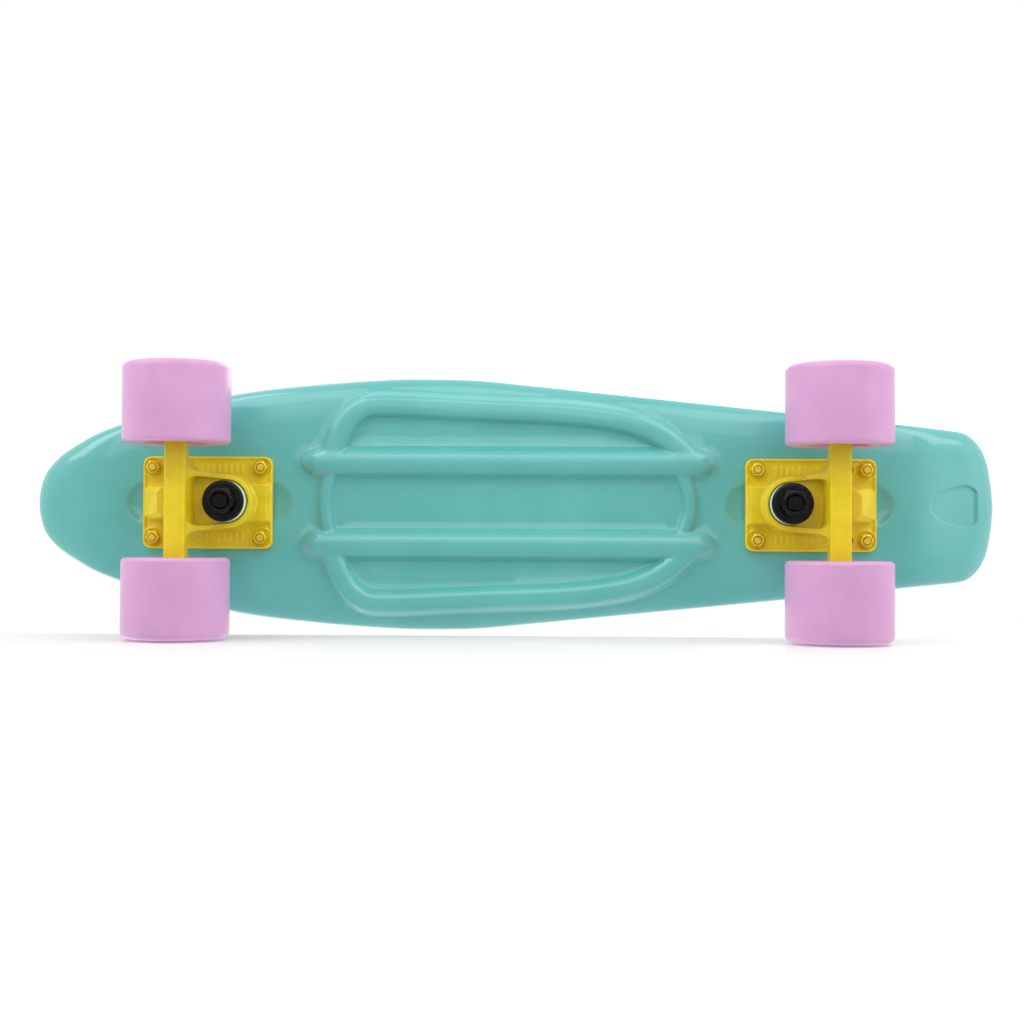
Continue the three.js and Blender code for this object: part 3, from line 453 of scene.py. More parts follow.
# Wet paint over cast aluminium: a sandy casting under it and deeper yellow where it pools
def paintedCasting():
    material, tree, shader = newMaterial("enamelOnCastAluminiumYellow", {
        "IOR": 1.5, "Coat Weight": 0.15, "Coat Roughness": 0.12})
    sand = clouds(tree, 0.0011, 4)
    tintBy(tree, shader, clouds(tree, 0.009, 3), "e2c60c", "eed518", (0.3, 0.72))
    roughBy(tree, shader, sand, 0.28, 0.42)
    bumpBy(tree, shader, sand, 0.35, 0.00012)
    return material


# Cast polyurethane: a milky satin skin with fine lathe rings from its trimming
def castUrethane(name, low, high, roughness, ringStep):
    material, tree, shader = newMaterial(name, {
        "Roughness": roughness, "IOR": 1.5, "Subsurface Weight": 0.12, "Subsurface Scale": 0.004})
    tintBy(tree, shader, clouds(tree, 0.02, 2), low, high)
    rings = addNode(tree, "ShaderNodeTexWave", {
        "wave_type": "RINGS", "rings_direction": "Z", "Scale": 1 / ringStep / 20, "Distortion": 0.4,
        "Detail": 2.0}, {"Vector": ownPlace(tree)})
    bumpBy(tree, shader, rings.outputs["Fac"], 0.12, 0.00005)
    return material


# Metal finishes share one recipe: a cloudy tint that also sets the roughness, and a light grain
def metalFinish(name, low, high, smooth, rough, grain, oil=0.0):
    material, tree, shader = newMaterial(name, {
        "Metallic": 1.0, "Coat Weight": oil, "Coat Roughness": 0.12})
    film = clouds(tree, 0.004, 4)
    tintBy(tree, shader, film, low, high, (0.32, 0.68))
    roughBy(tree, shader, film, smooth, rough)
    bumpBy(tree, shader, clouds(tree, grain, 3), 0.2, 0.00004)
    return material


tealPlastic = glossyPolypropylene()
yellowPaint = paintedCasting()
pinkUrethane = castUrethane("castPolyurethaneLilac", "cb96c4", "d19eca", 0.3, 0.0012)
mintUrethane = castUrethane("castPolyurethaneMint", "c6ebe2", "d8f3ec", 0.38, 0.0006)
blackOxide = metalFinish("oiledBlackOxideSteel", "0a0a0b", "1b1b1d", 0.2, 0.34, 0.0008, oil=0.4)
yellowZinc = metalFinish("yellowPassivatedZinc", "ecca3c", "fae062", 0.34, 0.48, 0.0007)
brightSteel = metalFinish("turnedBrightSteel", "b4b7bb", "c9cbce", 0.18, 0.32, 0.0005)
print("materials made")


# Deck

deck = {
    "length": 574.7, "width": 149.0, "thickness": 12.0,
    "widestLineRise": 7.0,       # height of the widest line over the flat underside
    "bellyRound": 18.0, "rimRound": 4.5,
    "underside": 78.95,
    "noseKick": (55.0, 8.0), "tailKick": (62.0, 17.75), "kickBlend": 26.0,
    "outlineSteps": 620,
    "bellyRows": (0.25, 0.7, 1.5, 2.7, 4.3, 6.3, 8.8, 11.6, 14.6, 18),
    "rimRows": (0.12, 0.4, 0.85, 1.6, 2.6, 3.8, 5.2, 7, 9),
    "fieldStep": 5.0,
    "boltHole": (2.7, 5.0, 2.6),   # radius, head's radius and depth
    "cutFrom": 70, "cutOver": 3,   # the holes' cutters start at this height and end this far over the top
    "crowding": 0.985,             # least share of its distance that a point of an edge row keeps
}
# Least gap in mm between the points of each form
gaps = {
    "ridge": 0.3, "bandFlank": 0.5, "archRim": 0.4, "pocket": 0.25, "mark": 0.16, "markEnd": 0.3,
    "rim": 0.55, "field": 2.4, "fieldRim": 1.5, "boltPad": 0.2, "topRim": 0.35, "waffle": 0.3,
}
# The outline's upper half from nose to tail, in shares of half the length and width
outlineShares = [
    (1, 0), (0.9866, 0.228), (0.9535, 0.372), (0.91, 0.479), (0.8665, 0.564),
    (0.72, 0.744), (0.5725, 0.8765), (0.4055, 0.953), (0.24, 0.996), (0.157, 1),
    (0.073, 0.9906), (-0.009, 0.961), (-0.174, 0.8966), (-0.3395, 0.832),
    (-0.545, 0.7517), (-0.7935, 0.6523), (-0.88, 0.6205), (-0.92, 0.6065),
    (-0.9365, 0.592), (-0.9525, 0.556), (-0.9668, 0.503), (-0.9778, 0.438),
    (-0.9862, 0.362), (-0.9925, 0.26), (-0.9982, 0.11), (-1, 0),
]

# Height of each ridge over the flat, at distances from its middle line, in mm
ribs = {
    "spacing": 48.6, "noseEnd": 128.0, "tailEnd": -119.5, "step": 3.0,
    "endLength": 16.0,   # mm over which each end sinks into the belly
    "across": (0, 1.5, 2.7, 3.9, 5.0, 6.0, 6.5, 7.0, 7.5, 9.3, 9.7, 10.2),
    "height": (6.5, 6.48, 6.33, 6.0, 5.5, 4.83, 4.38, 3.8, 3.16, 0.8, 0.3, 0),
}
arches = {
    "shares": [(0.8545, 0.33), (0.827, 0.45), (0.79, 0.597), (0.737, 0.711),
               (0.6646, 0.777), (0.5636, 0.7866), (0.2907, 0.768), (0.0353, 0.748),
               (-0.2433, 0.729), (-0.4407, 0.697), (-0.6032, 0.642), (-0.7426, 0.534),
               (-0.853, 0.38)],
    "step": 2.0, "length": 290, "blend": 1.4,
    "across": (0, 2, 2.8, 3.6, 4.35, 5.05, 5.6, 6.0, 6.4, 7.6, 8.0, 8.5),
    "height": (5.5, 5.5, 5.43, 5.22, 4.87, 4.4, 3.81, 3.28, 2.64, 0.72, 0.22, 0),
}
bands = {
    "shares": (0.8368, -0.8053), "bows": (3.8, -7.0), "outerSpread": 1.5, "blend": 1.0,
    "across": (0, 1, 1.9, 2.6, 3.1, 3.5, 3.9, 4.4, 5.2),
    "height": (3.8, 3.7, 3.3, 2.55, 1.75, 1.0, 0.45, 0.12, 0),
}
truckPocket = {
    "halfLength": 49.2, "halfWidth": 12.3, "depth": 2.4, "centres": (181.2, -173.2),
    "across": (0, 0.3, 0.55, 0.75, 0.88, 0.96, 1.02, 1.08),   # shares of the half width
    "sunk": (1, 0.97, 0.87, 0.66, 0.38, 0.16, 0.04, 0),
    "rows": (1.08, 1.02, 0.96, 0.88, 0.82, 0.75, 0.65, 0.55, 0.4, 0.2), "step": 3,
}
tailMark = {
    "length": 31.2, "width": 25.0, "setback": 11.8, "deepEnd": 2.0, "shallowEnd": 0.8,
    "shares": [(0, 0.57), (0.04, 0.75), (0.117, 0.9), (0.248, 1), (0.43, 0.94), (0.69, 0.78),
               (0.85, 0.585), (0.953, 0.36), (1, 0)],
    "corner": 1.6, "wall": 1.3, "endWall": 3.0, "endStart": 0.15,
    "rows": (-1.3, -0.95, -0.65, -0.4, -0.2, 0, 0.2, 0.4, 0.65, 0.95, 1.3),
    "endReach": (3.6, 0.4), "endAcross": (9, 0.8),   # mm and step of the rows on the sloping wall
}
waffle = {
    "pitch": 6.0, "line": 1.2, "wall": 0.5, "depth": 0.6,   # squares sunk between raised lines
    "border": 9.0, "boltPad": 8.0,
    "squares": (48, 13),                                    # on each side of the middle, along and across
}
boltPlaces = [(31.75, 20.65), (31.75, -20.65), (-31.75, -20.65), (-31.75, 20.65)]
deckHoles = [(centre + x, y) for centre in truckPocket["centres"] for x, y in boltPlaces]


# The smooth curve through points: centripetal Catmull-Rom
def smoothCurve(points, perSpan, closed):
    p = [np.array(q, float) for q in points]
    if closed:
        p = [p[-1]] + p + p[:2]
    else:
        p = [2 * p[0] - p[1]] + p + [2 * p[-1] - p[-2]]
    made = []
    for p0, p1, p2, p3 in zip(p, p[1:], p[2:], p[3:]):
        a, b, c = (np.linalg.norm(v - u) ** 0.5 for u, v in ((p0, p1), (p1, p2), (p2, p3)))
        t1 = ((p1 - p0) / a - (p2 - p0) / (a + b) + (p2 - p1) / b) * b
        t2 = ((p2 - p1) / b - (p3 - p1) / (b + c) + (p3 - p2) / c) * b
        second, third = 3 * (p2 - p1) - 2 * t1 - t2, 2 * (p1 - p2) + t1 + t2
        made += [p1 + t1 * t + second * t ** 2 + third * t ** 3 for t in np.arange(perSpan) / perSpan]
    if not closed:
        made.append(p[-2])
    return np.array(made)


def evenly(path, count, closed):
    ring = np.vstack([path, path[:1]]) if closed else path
    along = np.concatenate([[0], np.cumsum(np.linalg.norm(np.diff(ring, axis=0), axis=1))])
    at = np.linspace(0, along[-1], count, endpoint=not closed)
    return np.stack([np.interp(at, along, ring[:, i]) for i in (0, 1)], 1)


# Distance of many points to a path, worked out in blocks to save memory
def distanceTo(points, path, closed=False):
    ends = np.roll(path, -1, axis=0) if closed else path[1:]
    starts = path if closed else path[:-1]
    spans = ends - starts
    lengths = (spans ** 2).sum(1)
    least = np.full(len(points), 1e9)
    size = 4000
    for i in range(0, len(points), size):
        block = points[i:i + size, None, :] - starts
        share = np.clip((block * spans).sum(2) / lengths, 0, 1)
        gap = block - share[..., None] * spans
        least[i:i + size] = np.sqrt((gap ** 2).sum(2).min(1))
    return least


def inside(points, loop):
    x, y = points[:, 0], points[:, 1]
    odd = np.zeros(len(points), bool)
    for (x0, y0), (x1, y1) in zip(loop, np.roll(loop, -1, axis=0)):
        crosses = (y0 > y) != (y1 > y)
        if crosses.any():
            odd ^= crosses & (x < (x1 - x0) * (y - y0) / (y1 - y0 + 1e-12) + x0)
    return odd


# The deck's ends rise in a curve that goes over into a straight slope
def kickRise(x):
    rise, blend = np.zeros_like(x), deck["kickBlend"]
    for outwards, (run, height) in ((x, deck["noseKick"]), (-x, deck["tailKick"])):
        past, slope = np.maximum(outwards - (deck["length"] / 2 - run), 0), height / (run - blend / 2)
        rise += np.where(past < blend, slope * past ** 2 / (2 * blend), slope * (past - blend / 2))
    return rise


# 0 at a round edge and 1 from its radius inward, along a quarter circle
def roundOff(distance, radius):
    left = np.maximum(0, 1 - distance / radius)
    return np.sqrt(1 - left ** 2)


# The higher of two reliefs, with a fillet where both stand up
def softUnion(a, b, reach):
    blend = np.maximum(reach - np.abs(a - b), 0)
    lift = blend ** 2 / (4 * reach) * np.minimum(1, np.minimum(a, b) / reach)
    return np.maximum(a, b) + lift


# Keeps the points that are no nearer than a gap to the ones already kept
class PointSieve:
    def __init__(self, cell):
        self.cell, self.cells, self.points = cell, {}, []

    def add(self, points, gap):
        reach = int(math.ceil(gap / self.cell))
        for x, y in points:
            i, j = math.floor(x / self.cell), math.floor(y / self.cell)
            near = (q for a in range(i - reach, i + reach + 1) for b in range(j - reach, j + reach + 1)
                    for q in self.cells.get((a, b), ()))
            if all((x - u) ** 2 + (y - v) ** 2 > gap * gap for u, v in near):
                self.cells.setdefault((i, j), []).append((x, y))
                self.points.append((x, y))


def pathNormals(path, closed):
    if closed:
        along = np.roll(path, -1, axis=0) - np.roll(path, 1, axis=0)
    else:
        along = np.gradient(path, axis=0)
    along /= np.linalg.norm(along, axis=1)[:, None]
    return np.stack([-along[:, 1], along[:, 0]], 1)


def besidePath(path, offsets):
    normals = pathNormals(path, False)
    rows = [path] if offsets[0] == 0 else []
    for offset in offsets:
        if offset:
            rows += [path + normals * offset, path - normals * offset]
    return np.vstack(rows)


halfLength, halfWidth = deck["length"] / 2, deck["width"] / 2
upperHalf = [(x * halfLength, y * halfWidth) for x, y in outlineShares]
outline = evenly(smoothCurve(mirrored(upperHalf), 40, True), deck["outlineSteps"], True)
inwardNormals = pathNormals(outline, True)
if inwardNormals[1][0] > 0:   # the second point is at the nose
    inwardNormals = -inwardNormals

ribEndStretch = ribs["endLength"] / ribs["across"][-1]
ribCentre = (ribs["noseEnd"] + ribs["tailEnd"]) / 2
ribHalf = (ribs["noseEnd"] - ribs["tailEnd"]) / 2
archPaths, bandPaths = [], []
for side in (1, -1):
    line = [(ribCentre + x * ribHalf, side * y * halfWidth) for x, y in arches["shares"]]
    archPaths.append(evenly(smoothCurve(line, 20, False), int(arches["length"] / arches["step"]), False))
for share, bow in zip(bands["shares"], bands["bows"]):
    x, y = ribCentre + share * ribHalf, ribs["spacing"] / 2
    bandPaths.append(evenly(smoothCurve([(x, y), (x + bow, 0), (x, -y)], 12, False), 40, False))
pocketReach = truckPocket["halfLength"] - truckPocket["halfWidth"]   # to the middles of its round ends
markHalf = [(x * tailMark["length"], y * tailMark["width"] / 2) for x, y in tailMark["shares"]]
markLoop = np.array(rounded(mirrored(markHalf), tailMark["corner"], closed=True))
markLoop += (tailMark["setback"] - halfLength, 0)


def undersideHeight(points, rimDistance):
    x = points[:, 0]
    flare = deck["widestLineRise"] * (1 - roundOff(rimDistance, deck["bellyRound"]))
    z = deck["underside"] + kickRise(x) + flare
    pastEnd = np.maximum(np.abs(x - ribCentre) - (ribHalf - ribs["endLength"]), 0) / ribEndStretch
    fromRib = np.hypot(pastEnd, np.abs(points[:, 1]) - ribs["spacing"] / 2)
    raised = np.interp(fromRib, ribs["across"], ribs["height"])
    for path in archPaths:
        ridge = np.interp(distanceTo(points, path), arches["across"], arches["height"])
        raised = softUnion(raised, ridge, arches["blend"])
    for path in bandPaths:
        middle = np.interp(-points[:, 1], -path[:, 1], path[:, 0])
        outer = (x - middle) * (path[0, 0] - ribCentre) > 0
        between = np.abs(points[:, 1]) < ribs["spacing"] / 2
        away = distanceTo(points, path) / np.where(outer & between, bands["outerSpread"], 1)
        raised = softUnion(raised, np.interp(away, bands["across"], bands["height"]), bands["blend"])
    z -= raised
    for centre in truckPocket["centres"]:
        line = np.array([(centre - pocketReach, 0), (centre + pocketReach, 0)])
        away = distanceTo(points, line) / truckPocket["halfWidth"]
        z += truckPocket["depth"] * np.interp(away, truckPocket["across"], truckPocket["sunk"])
    return z + tailMark["deepEnd"] * markShare(points)


# The mark's walls are steep but for the sloping one at its deep end
def markShare(points):
    low, high = markLoop[:, 0].min(), markLoop[:, 0].max()
    floorDepth = np.interp(points[:, 0], (low, high), (1, tailMark["shallowEnd"] / tailMark["deepEnd"]))
    within = np.where(inside(points, markLoop), 1, -1) * distanceTo(points, markLoop, True)
    fromEnd = (points[:, 0] - low) / tailMark["endWall"]
    share = np.clip(np.minimum(within / tailMark["wall"] + 0.5, fromEnd + tailMark["endStart"]), 0, 1)
    return floorDepth * share * share * (3 - 2 * share)


def topHeight(points, rimDistance):
    x, y = points[:, 0], points[:, 1]
    z = deck["underside"] + kickRise(x) + deck["widestLineRise"]
    z += (deck["thickness"] - deck["widestLineRise"]) * roundOff(rimDistance, deck["rimRound"])
    toLine = [waffle["pitch"] / 2 - np.abs(v % waffle["pitch"] - waffle["pitch"] / 2) for v in (x, y)]
    sunk = np.clip((np.minimum(*toLine) - waffle["line"] / 2) / waffle["wall"], 0, 1)
    area = np.clip((rimDistance - waffle["border"]) / waffle["wall"], 0, 1)
    for holeX, holeY in deckHoles:
        away = np.hypot(x - holeX, y - holeY)
        area = np.minimum(area, np.clip((away - waffle["boltPad"]) / waffle["wall"], 0, 1))
    return z - waffle["depth"] * np.minimum(sunk, area)


# Joins the points into one sheet of triangles whose edge is the outline
def sheetFaces(points):
    count = len(outline)
    edge = [(i, (i + 1) % count) for i in range(count)]
    made = delaunay_2d_cdt([Vector(p) for p in points], edge, [list(range(count))], 1, 1e-6)
    back = [origins[0] for origins in made[3]]
    return [tuple(back[i] for i in face) for face in made[2]]


# Rows of points inside the outline, without the ones that crowd where it turns sharply
def edgeRows(rows):
    made = []
    for row in rows:
        ring = outline + inwardNormals * row
        made.append(ring[distanceTo(ring, outline, True) > row * deck["crowding"]])
    return np.vstack(made)


def deepInside(points, least):
    points = points[inside(points, outline)]
    return points[distanceTo(points, outline, True) > least]


def undersidePoints():
    sieve = PointSieve(1.0)
    sieve.add(outline, 0)
    noseX, tailX = ribs["noseEnd"] - ribs["endLength"], ribs["tailEnd"] + ribs["endLength"]
    stations = np.arange(tailX, noseX, ribs["step"])
    for y in (ribs["spacing"] / 2, -ribs["spacing"] / 2):
        for offset in ribs["across"]:
            row = [(x, y + side * offset) for x in stations for side in (1, -1)]
            for end, turn in ((noseX, -math.pi / 2), (tailX, math.pi / 2)):
                row += arcPoints(end, y, offset * ribEndStretch, offset, turn, turn + math.pi, 32)
            sieve.add(row, gaps["ridge"])
    for path in archPaths:
        sieve.add(deepInside(besidePath(path, arches["across"]), gaps["archRim"]), gaps["ridge"])
    for path in bandPaths:
        sieve.add(besidePath(path, bands["across"]), gaps["ridge"])
        sieve.add(besidePath(path, [a * bands["outerSpread"] for a in bands["across"]]), gaps["bandFlank"])
    step = truckPocket["step"]
    stations = np.arange(step - pocketReach, pocketReach - step + 1, step)
    for centre in truckPocket["centres"]:
        for share in truckPocket["rows"]:
            away = truckPocket["halfWidth"] * share
            row = []
            for side, turn in ((1, -math.pi / 2), (-1, math.pi / 2)):
                row += arcPoints(centre + side * pocketReach, 0, away, away, turn, turn + math.pi, 22)
            sieve.add(row + [(centre + x, side * away) for x in stations for side in (1, -1)], gaps["pocket"])
    fineLoop = evenly(markLoop, 150, True)
    normals = pathNormals(fineLoop, True)
    for offset in tailMark["rows"]:
        sieve.add(fineLoop + normals * offset, gaps["mark"])
    low, (length, step), (half, span) = markLoop[:, 0].min(), tailMark["endReach"], tailMark["endAcross"]
    sieve.add(np.mgrid[low:low + length:step, -half:half + 0.1:span].reshape(2, -1).T, gaps["markEnd"])
    sieve.add(edgeRows(deck["bellyRows"]), gaps["rim"])
    grid = np.mgrid[-halfLength:halfLength:deck["fieldStep"], -halfWidth:halfWidth:deck["fieldStep"]]
    sieve.add(deepInside(grid.reshape(2, -1).T, gaps["fieldRim"]), gaps["field"])
    return np.array(sieve.points)


def topPoints():
    sieve = PointSieve(1.0)
    sieve.add(outline, 0)
    w = waffle
    breaks = [w["line"] / 2, w["line"] / 2 + w["wall"]]
    offsets = breaks + [w["pitch"] - b for b in reversed(breaks)]
    lines = [np.array([n * w["pitch"] + o for n in range(-half, half) for o in offsets])
             for half in w["squares"]]
    for x, y in deckHoles:
        for radius in (w["boltPad"], w["boltPad"] + w["wall"]):
            sieve.add(arcPoints(x, y, radius, radius, 0, 2 * math.pi, 41)[:-1], gaps["boltPad"])
    sieve.add(edgeRows(deck["rimRows"] + (w["border"] + w["wall"],)), gaps["topRim"])
    grid = np.array(np.meshgrid(*lines)).reshape(2, -1).T
    sieve.add(deepInside(grid, w["border"] + w["wall"]), gaps["waffle"])
    return np.array(sieve.points)


def makeDeck():
    count = len(outline)
    low, high = undersidePoints(), topPoints()
    lowZ = undersideHeight(low, distanceTo(low, outline, True))
    highZ = topHeight(high, distanceTo(high, outline, True))
    lowZ[:count] = deck["underside"] + kickRise(outline[:, 0]) + deck["widestLineRise"]
    verts = [(x, y, z) for (x, y), z in zip(low, lowZ)]
    verts += [(x, y, z) for (x, y), z in zip(high[count:], highZ[count:])]
    shift = len(low) - count
    faces = [tuple(reversed(f)) for f in sheetFaces(low.tolist())]
    faces += [tuple(i if i < count else i + shift for i in f) for f in sheetFaces(high.tolist())]
    piece = outward(newPiece("deckMoulding", verts, faces))
    top = deck["underside"] + deck["thickness"]
    bore, head, depth = deck["boltHole"]
    below, above = deck["cutFrom"], top + deck["cutOver"]
    profile = [(0, below), (bore, below), (bore, top - depth), (head, top - 0.1), (head, above), (0, above)]
    combine(piece, [upAt(turned("boltHole", profile, 32), x, y) for x, y in deckHoles], "DIFFERENCE")
    print("deck triangles", len(piece.data.polygons))
    showPiece(finishMesh(piece, tealPlastic, 38), "deck", Matrix.Identity(4), "deck")


makeDeck()
print("deck made")

# Trucks. Each is drawn in its own frame: z is the distance below the deck, x points to the deck's end.

truck = {
    "height": 78.75, "front": 181.2, "rear": -173.2,
    "kingpin": -16.5, "pivot": (22.0, 10.5), "axle": (8.1, 48.75), "webMiddle": 27.6,
}


def truckFrame(x, axis):
    return Matrix.Translation((x * mm, 0, truck["height"] * mm)) @ Matrix.Rotation(math.pi, 4, axis)


truckFrames = {"front": truckFrame(truck["front"], "X"), "rear": truckFrame(truck["rear"], "Y")}
steeringAngle = math.atan2(truck["webMiddle"] - truck["pivot"][1], truck["pivot"][0] - truck["kingpin"])


def onSteeringAxis(along, off):
    c, s = math.cos(steeringAngle), math.sin(steeringAngle)
    return truck["pivot"][0] - along * c + off * s, truck["pivot"][1] + along * s + off * c


def alongSteeringAxis(piece):
    turn = Matrix.Rotation(steeringAngle - math.pi / 2, 4, "Y")
    return moved(piece, Matrix.Translation((truck["pivot"][0], 0, truck["pivot"][1])) @ turn)


def sideProfile(name, points, width):
    return loft(name, [[(x, y, z) for x, z in points] for y in (-width / 2, width / 2)])


def rod(name, radius, low, high, sides=48):
    return turned(name, [(0, low), (radius, low), (radius, high), (0, high)], sides)


def chamferedBox(x0, x1, half, corner):
    return [(x1, -half + corner), (x1, half - corner), (x1 - corner, half), (x0 + corner, half),
            (x0, half - corner), (x0, -half + corner), (x0 + corner, -half), (x1 - corner, -half)]


def drafted(name, foot, top, low, high):
    return loft(name, [[(x, y, low) for x, y in foot], [(x, y, high) for x, y in top]])


# Baseplate: a rimmed slab with a seat for the kingpin, a block for the pivot and a ring round each nut

baseplate = {
    "length": 76.4, "width": 54.2, "thickness": 4.0, "corner": 5.2, "sunk": 2,
    "rimWidth": 1.5, "rimHeight": 0.9, "endGap": 0.2,
    "seatHeight": 10.4, "seatRadius": 13.0, "bandHalfWidth": 10.7, "bandCorner": 0.7, "bandDrop": 1.1,
    "pivotHalfWidth": 8.6, "pivotHeight": 18.0, "pivotTop": 6.0, "pivotEndHeight": 9.5, "pivotCorner": 3.0,
    "pivotMouth": 4.0, "blankWidth": 40, "draft": 2.2,
    "nutRing": (5.3, 6.6), "nutRingHeight": 0.7, "nutRingDraft": 0.3, "nutRecess": 0.3,
    "rib": (1.5, 4.6, 0.6), "ribHeight": 0.55,         # plain casting ribs: length, width, corner
    "ribRows": 19.8, "ribFrom": -20.0, "ribTo": 14.0, "ribPitch": 3.4,
    "boltBore": (2.55, -5, 12), "spareHoleX": 22.25,   # bores: radius, from, to
    "kingpinBore": (4.95, -5, 20), "cupBore": (6.2, -6.2, 9),
    "headPocket": (14.6, -5, 6.2),                     # across flats, from, to
    "voxel": 0.42, "smoothing": 4,
}


def pivotBlock():
    p = baseplate
    mouth = onSteeringAxis(p["pivotMouth"], 0)[1]
    slant = lambda z: onSteeringAxis(p["pivotMouth"], (z - mouth) / math.cos(steeringAngle))[0]
    topFrom, end = slant(p["pivotHeight"]), p["length"] / 2 - p["endGap"]
    topTo = topFrom + p["pivotTop"]
    side = sideProfile("pivotSide", [
        (slant(0), 0), (end, 0), (end, p["pivotEndHeight"]),
        (topTo, p["pivotHeight"]), (topFrom, p["pivotHeight"])], p["blankWidth"])
    low = chamferedBox(slant(0) - p["draft"], end + p["draft"], p["pivotHalfWidth"] + p["draft"], p["draft"])
    high = chamferedBox(slant(0) - p["draft"], topTo, p["pivotHalfWidth"], p["pivotCorner"])
    return combine(side, [drafted("pivotDraft", low, high, 0, p["pivotHeight"])], "INTERSECT")


def makeBaseplate():
    p, k = baseplate, truck["kingpin"]
    base, rim, sunk = p["thickness"], p["rimWidth"], p["sunk"]
    top = base + p["rimHeight"]
    body = prism("baseplateCasting", roundedBox(p["length"], p["width"], p["corner"]), 0, top)
    field = roundedBox(p["length"] - 2 * rim, p["width"] - 2 * rim, p["corner"] - rim)
    combine(body, [prism("plateField", field, base, top + 3)], "DIFFERENCE")
    end, half, draft = -p["length"] / 2 + p["endGap"], p["bandHalfWidth"], p["draft"]
    radius, height = p["seatRadius"], p["seatHeight"]
    band = drafted("kingpinBand", chamferedBox(end, k, half + draft, p["bandCorner"]),
                   chamferedBox(end + draft, k, half, p["bandCorner"]), 0, height - p["bandDrop"])
    seat = turned("kingpinSeat", [(0, 0), (radius + draft, 0), (radius, height), (0, height)], 64)
    added = [band, upAt(seat, k), pivotBlock()]
    (inner, outer), height = p["nutRing"], base + p["nutRingHeight"]
    profile = [(inner, sunk), (outer, sunk), (outer - p["nutRingDraft"], height), (inner, height)]
    added += [upAt(turned("nutRing", profile, 40, closed=True), x, y) for x, y in boltPlaces]
    for side in (1, -1):
        for x in np.arange(p["ribFrom"], p["ribTo"], p["ribPitch"]):
            rib = prism("castingRib", roundedBox(*p["rib"], 3), sunk, base + p["ribHeight"])
            added.append(upAt(rib, x, side * p["ribRows"]))
    combine(body, added, "UNION")
    across, low, high = p["headPocket"]
    cuts = [upAt(rod("kingpinHole", *p["kingpinBore"]), k),
            upAt(prism("headPocket", hexagon(across), low, high), k),
            alongSteeringAxis(rod("cupBore", *p["cupBore"]))]
    places = boltPlaces + [(p["spareHoleX"], side * boltPlaces[0][1]) for side in (1, -1)]
    cuts += [upAt(rod("boltHole", *p["boltBore"], 32), x, y) for x, y in places]
    recess = (inner, base - p["nutRecess"], p["boltBore"][2])
    cuts += [upAt(rod("nutRecess", *recess, 40), x, y) for x, y in boltPlaces]
    combine(body, cuts, "DIFFERENCE")
    castRound(body, p["voxel"], p["smoothing"])
    print("baseplate triangles", len(body.data.polygons))
    return finishMesh(body, yellowPaint, 60)


# Hanger: a yoke round the kingpin, a beam for the axle, a neck and a pin on the steering axis

hanger = {
    "yokeRadius": 15.1, "yokeWall": 2.5, "spread": 18.0, "pocketInset": 3.75, "pocketCorner": 5.0,
    "webFrom": 25.1, "webTo": 30.1, "rimHeight": 3.2, "riseRun": 5.6, "riseTopDrop": 3.2,
    "beamWidth": 12.0, "beamDepth": 10.6, "beamEdge": 1.4, "reach": 41.3, "beamFillet": 5.0,
    "pinRadius": 4.2, "pinReach": 5.5, "pinLap": 1.5, "rootRadius": 6.6, "rootLength": 4.0,
    "neckHalfWidth": 6.6, "neckKnee": 7.5, "neckFrom": -2.7,
    "webHole": (8.3, 15, 40), "axleBore": (4.12, -60, 60),   # radius, from, to
    "blankWidth": 60, "blankLength": 80, "blankEnd": 30,     # the block that its views are cut from
    "blankFrom": 15, "blankTo": 70,
    "voxel": 0.42, "smoothing": 5,
}
axleX, axleZ = truck["axle"]
beamFace, beamUnder = axleX - hanger["beamWidth"] / 2, axleZ - hanger["beamDepth"] / 2


# Half of the yoke's outline in plan, from the beam to its far end round the kingpin
def yokeHalf(radius, spread, end, corner):
    k = truck["kingpin"]
    run = end - k
    turn = math.atan2(spread, run) + math.acos(radius / math.hypot(run, spread))
    arc = arcPoints(k, 0, radius, radius, turn, math.pi, 24)
    return rounded([(end, 0), (end, spread), arc[0]], corner, 6)[1:-1] + arc


def yokePlan():
    h = hanger
    half = yokeHalf(h["yokeRadius"], h["spread"], axleX, 0)
    along = (beamFace - half[1][0]) / (half[0][0] - half[1][0])
    meet = Vector((beamFace, half[1][1] + (half[0][1] - half[1][1]) * along))
    fillet = h["beamFillet"]
    towards = (Vector(half[1]) - meet).normalized() * fillet
    curve = cornerCurve(meet + Vector((0, fillet)), meet, meet + towards, 7)
    return [(axleX, curve[0][1])] + curve + half[1:]


def yokeBody():
    h, k = hanger, truck["kingpin"]
    top, low, back = h["webTo"] + h["rimHeight"], h["webFrom"], k - h["blankEnd"]
    start, bend = Vector((k + h["yokeRadius"] / 2, top)), Vector((beamFace - h["riseRun"], top))
    high = Vector((beamFace, axleZ + h["beamDepth"] / 2 - h["riseTopDrop"]))
    rise = cornerCurve(start, bend, high, 13)
    points = [(back, low), (beamFace, low), (axleX, beamUnder), (axleX, high.y)] + rise[::-1] + [(back, top)]
    plan = prism("yokePlan", mirrored(yokePlan()), h["blankFrom"], h["blankTo"])
    return combine(sideProfile("yokeSide", points, h["blankWidth"]), [plan], "INTERSECT")


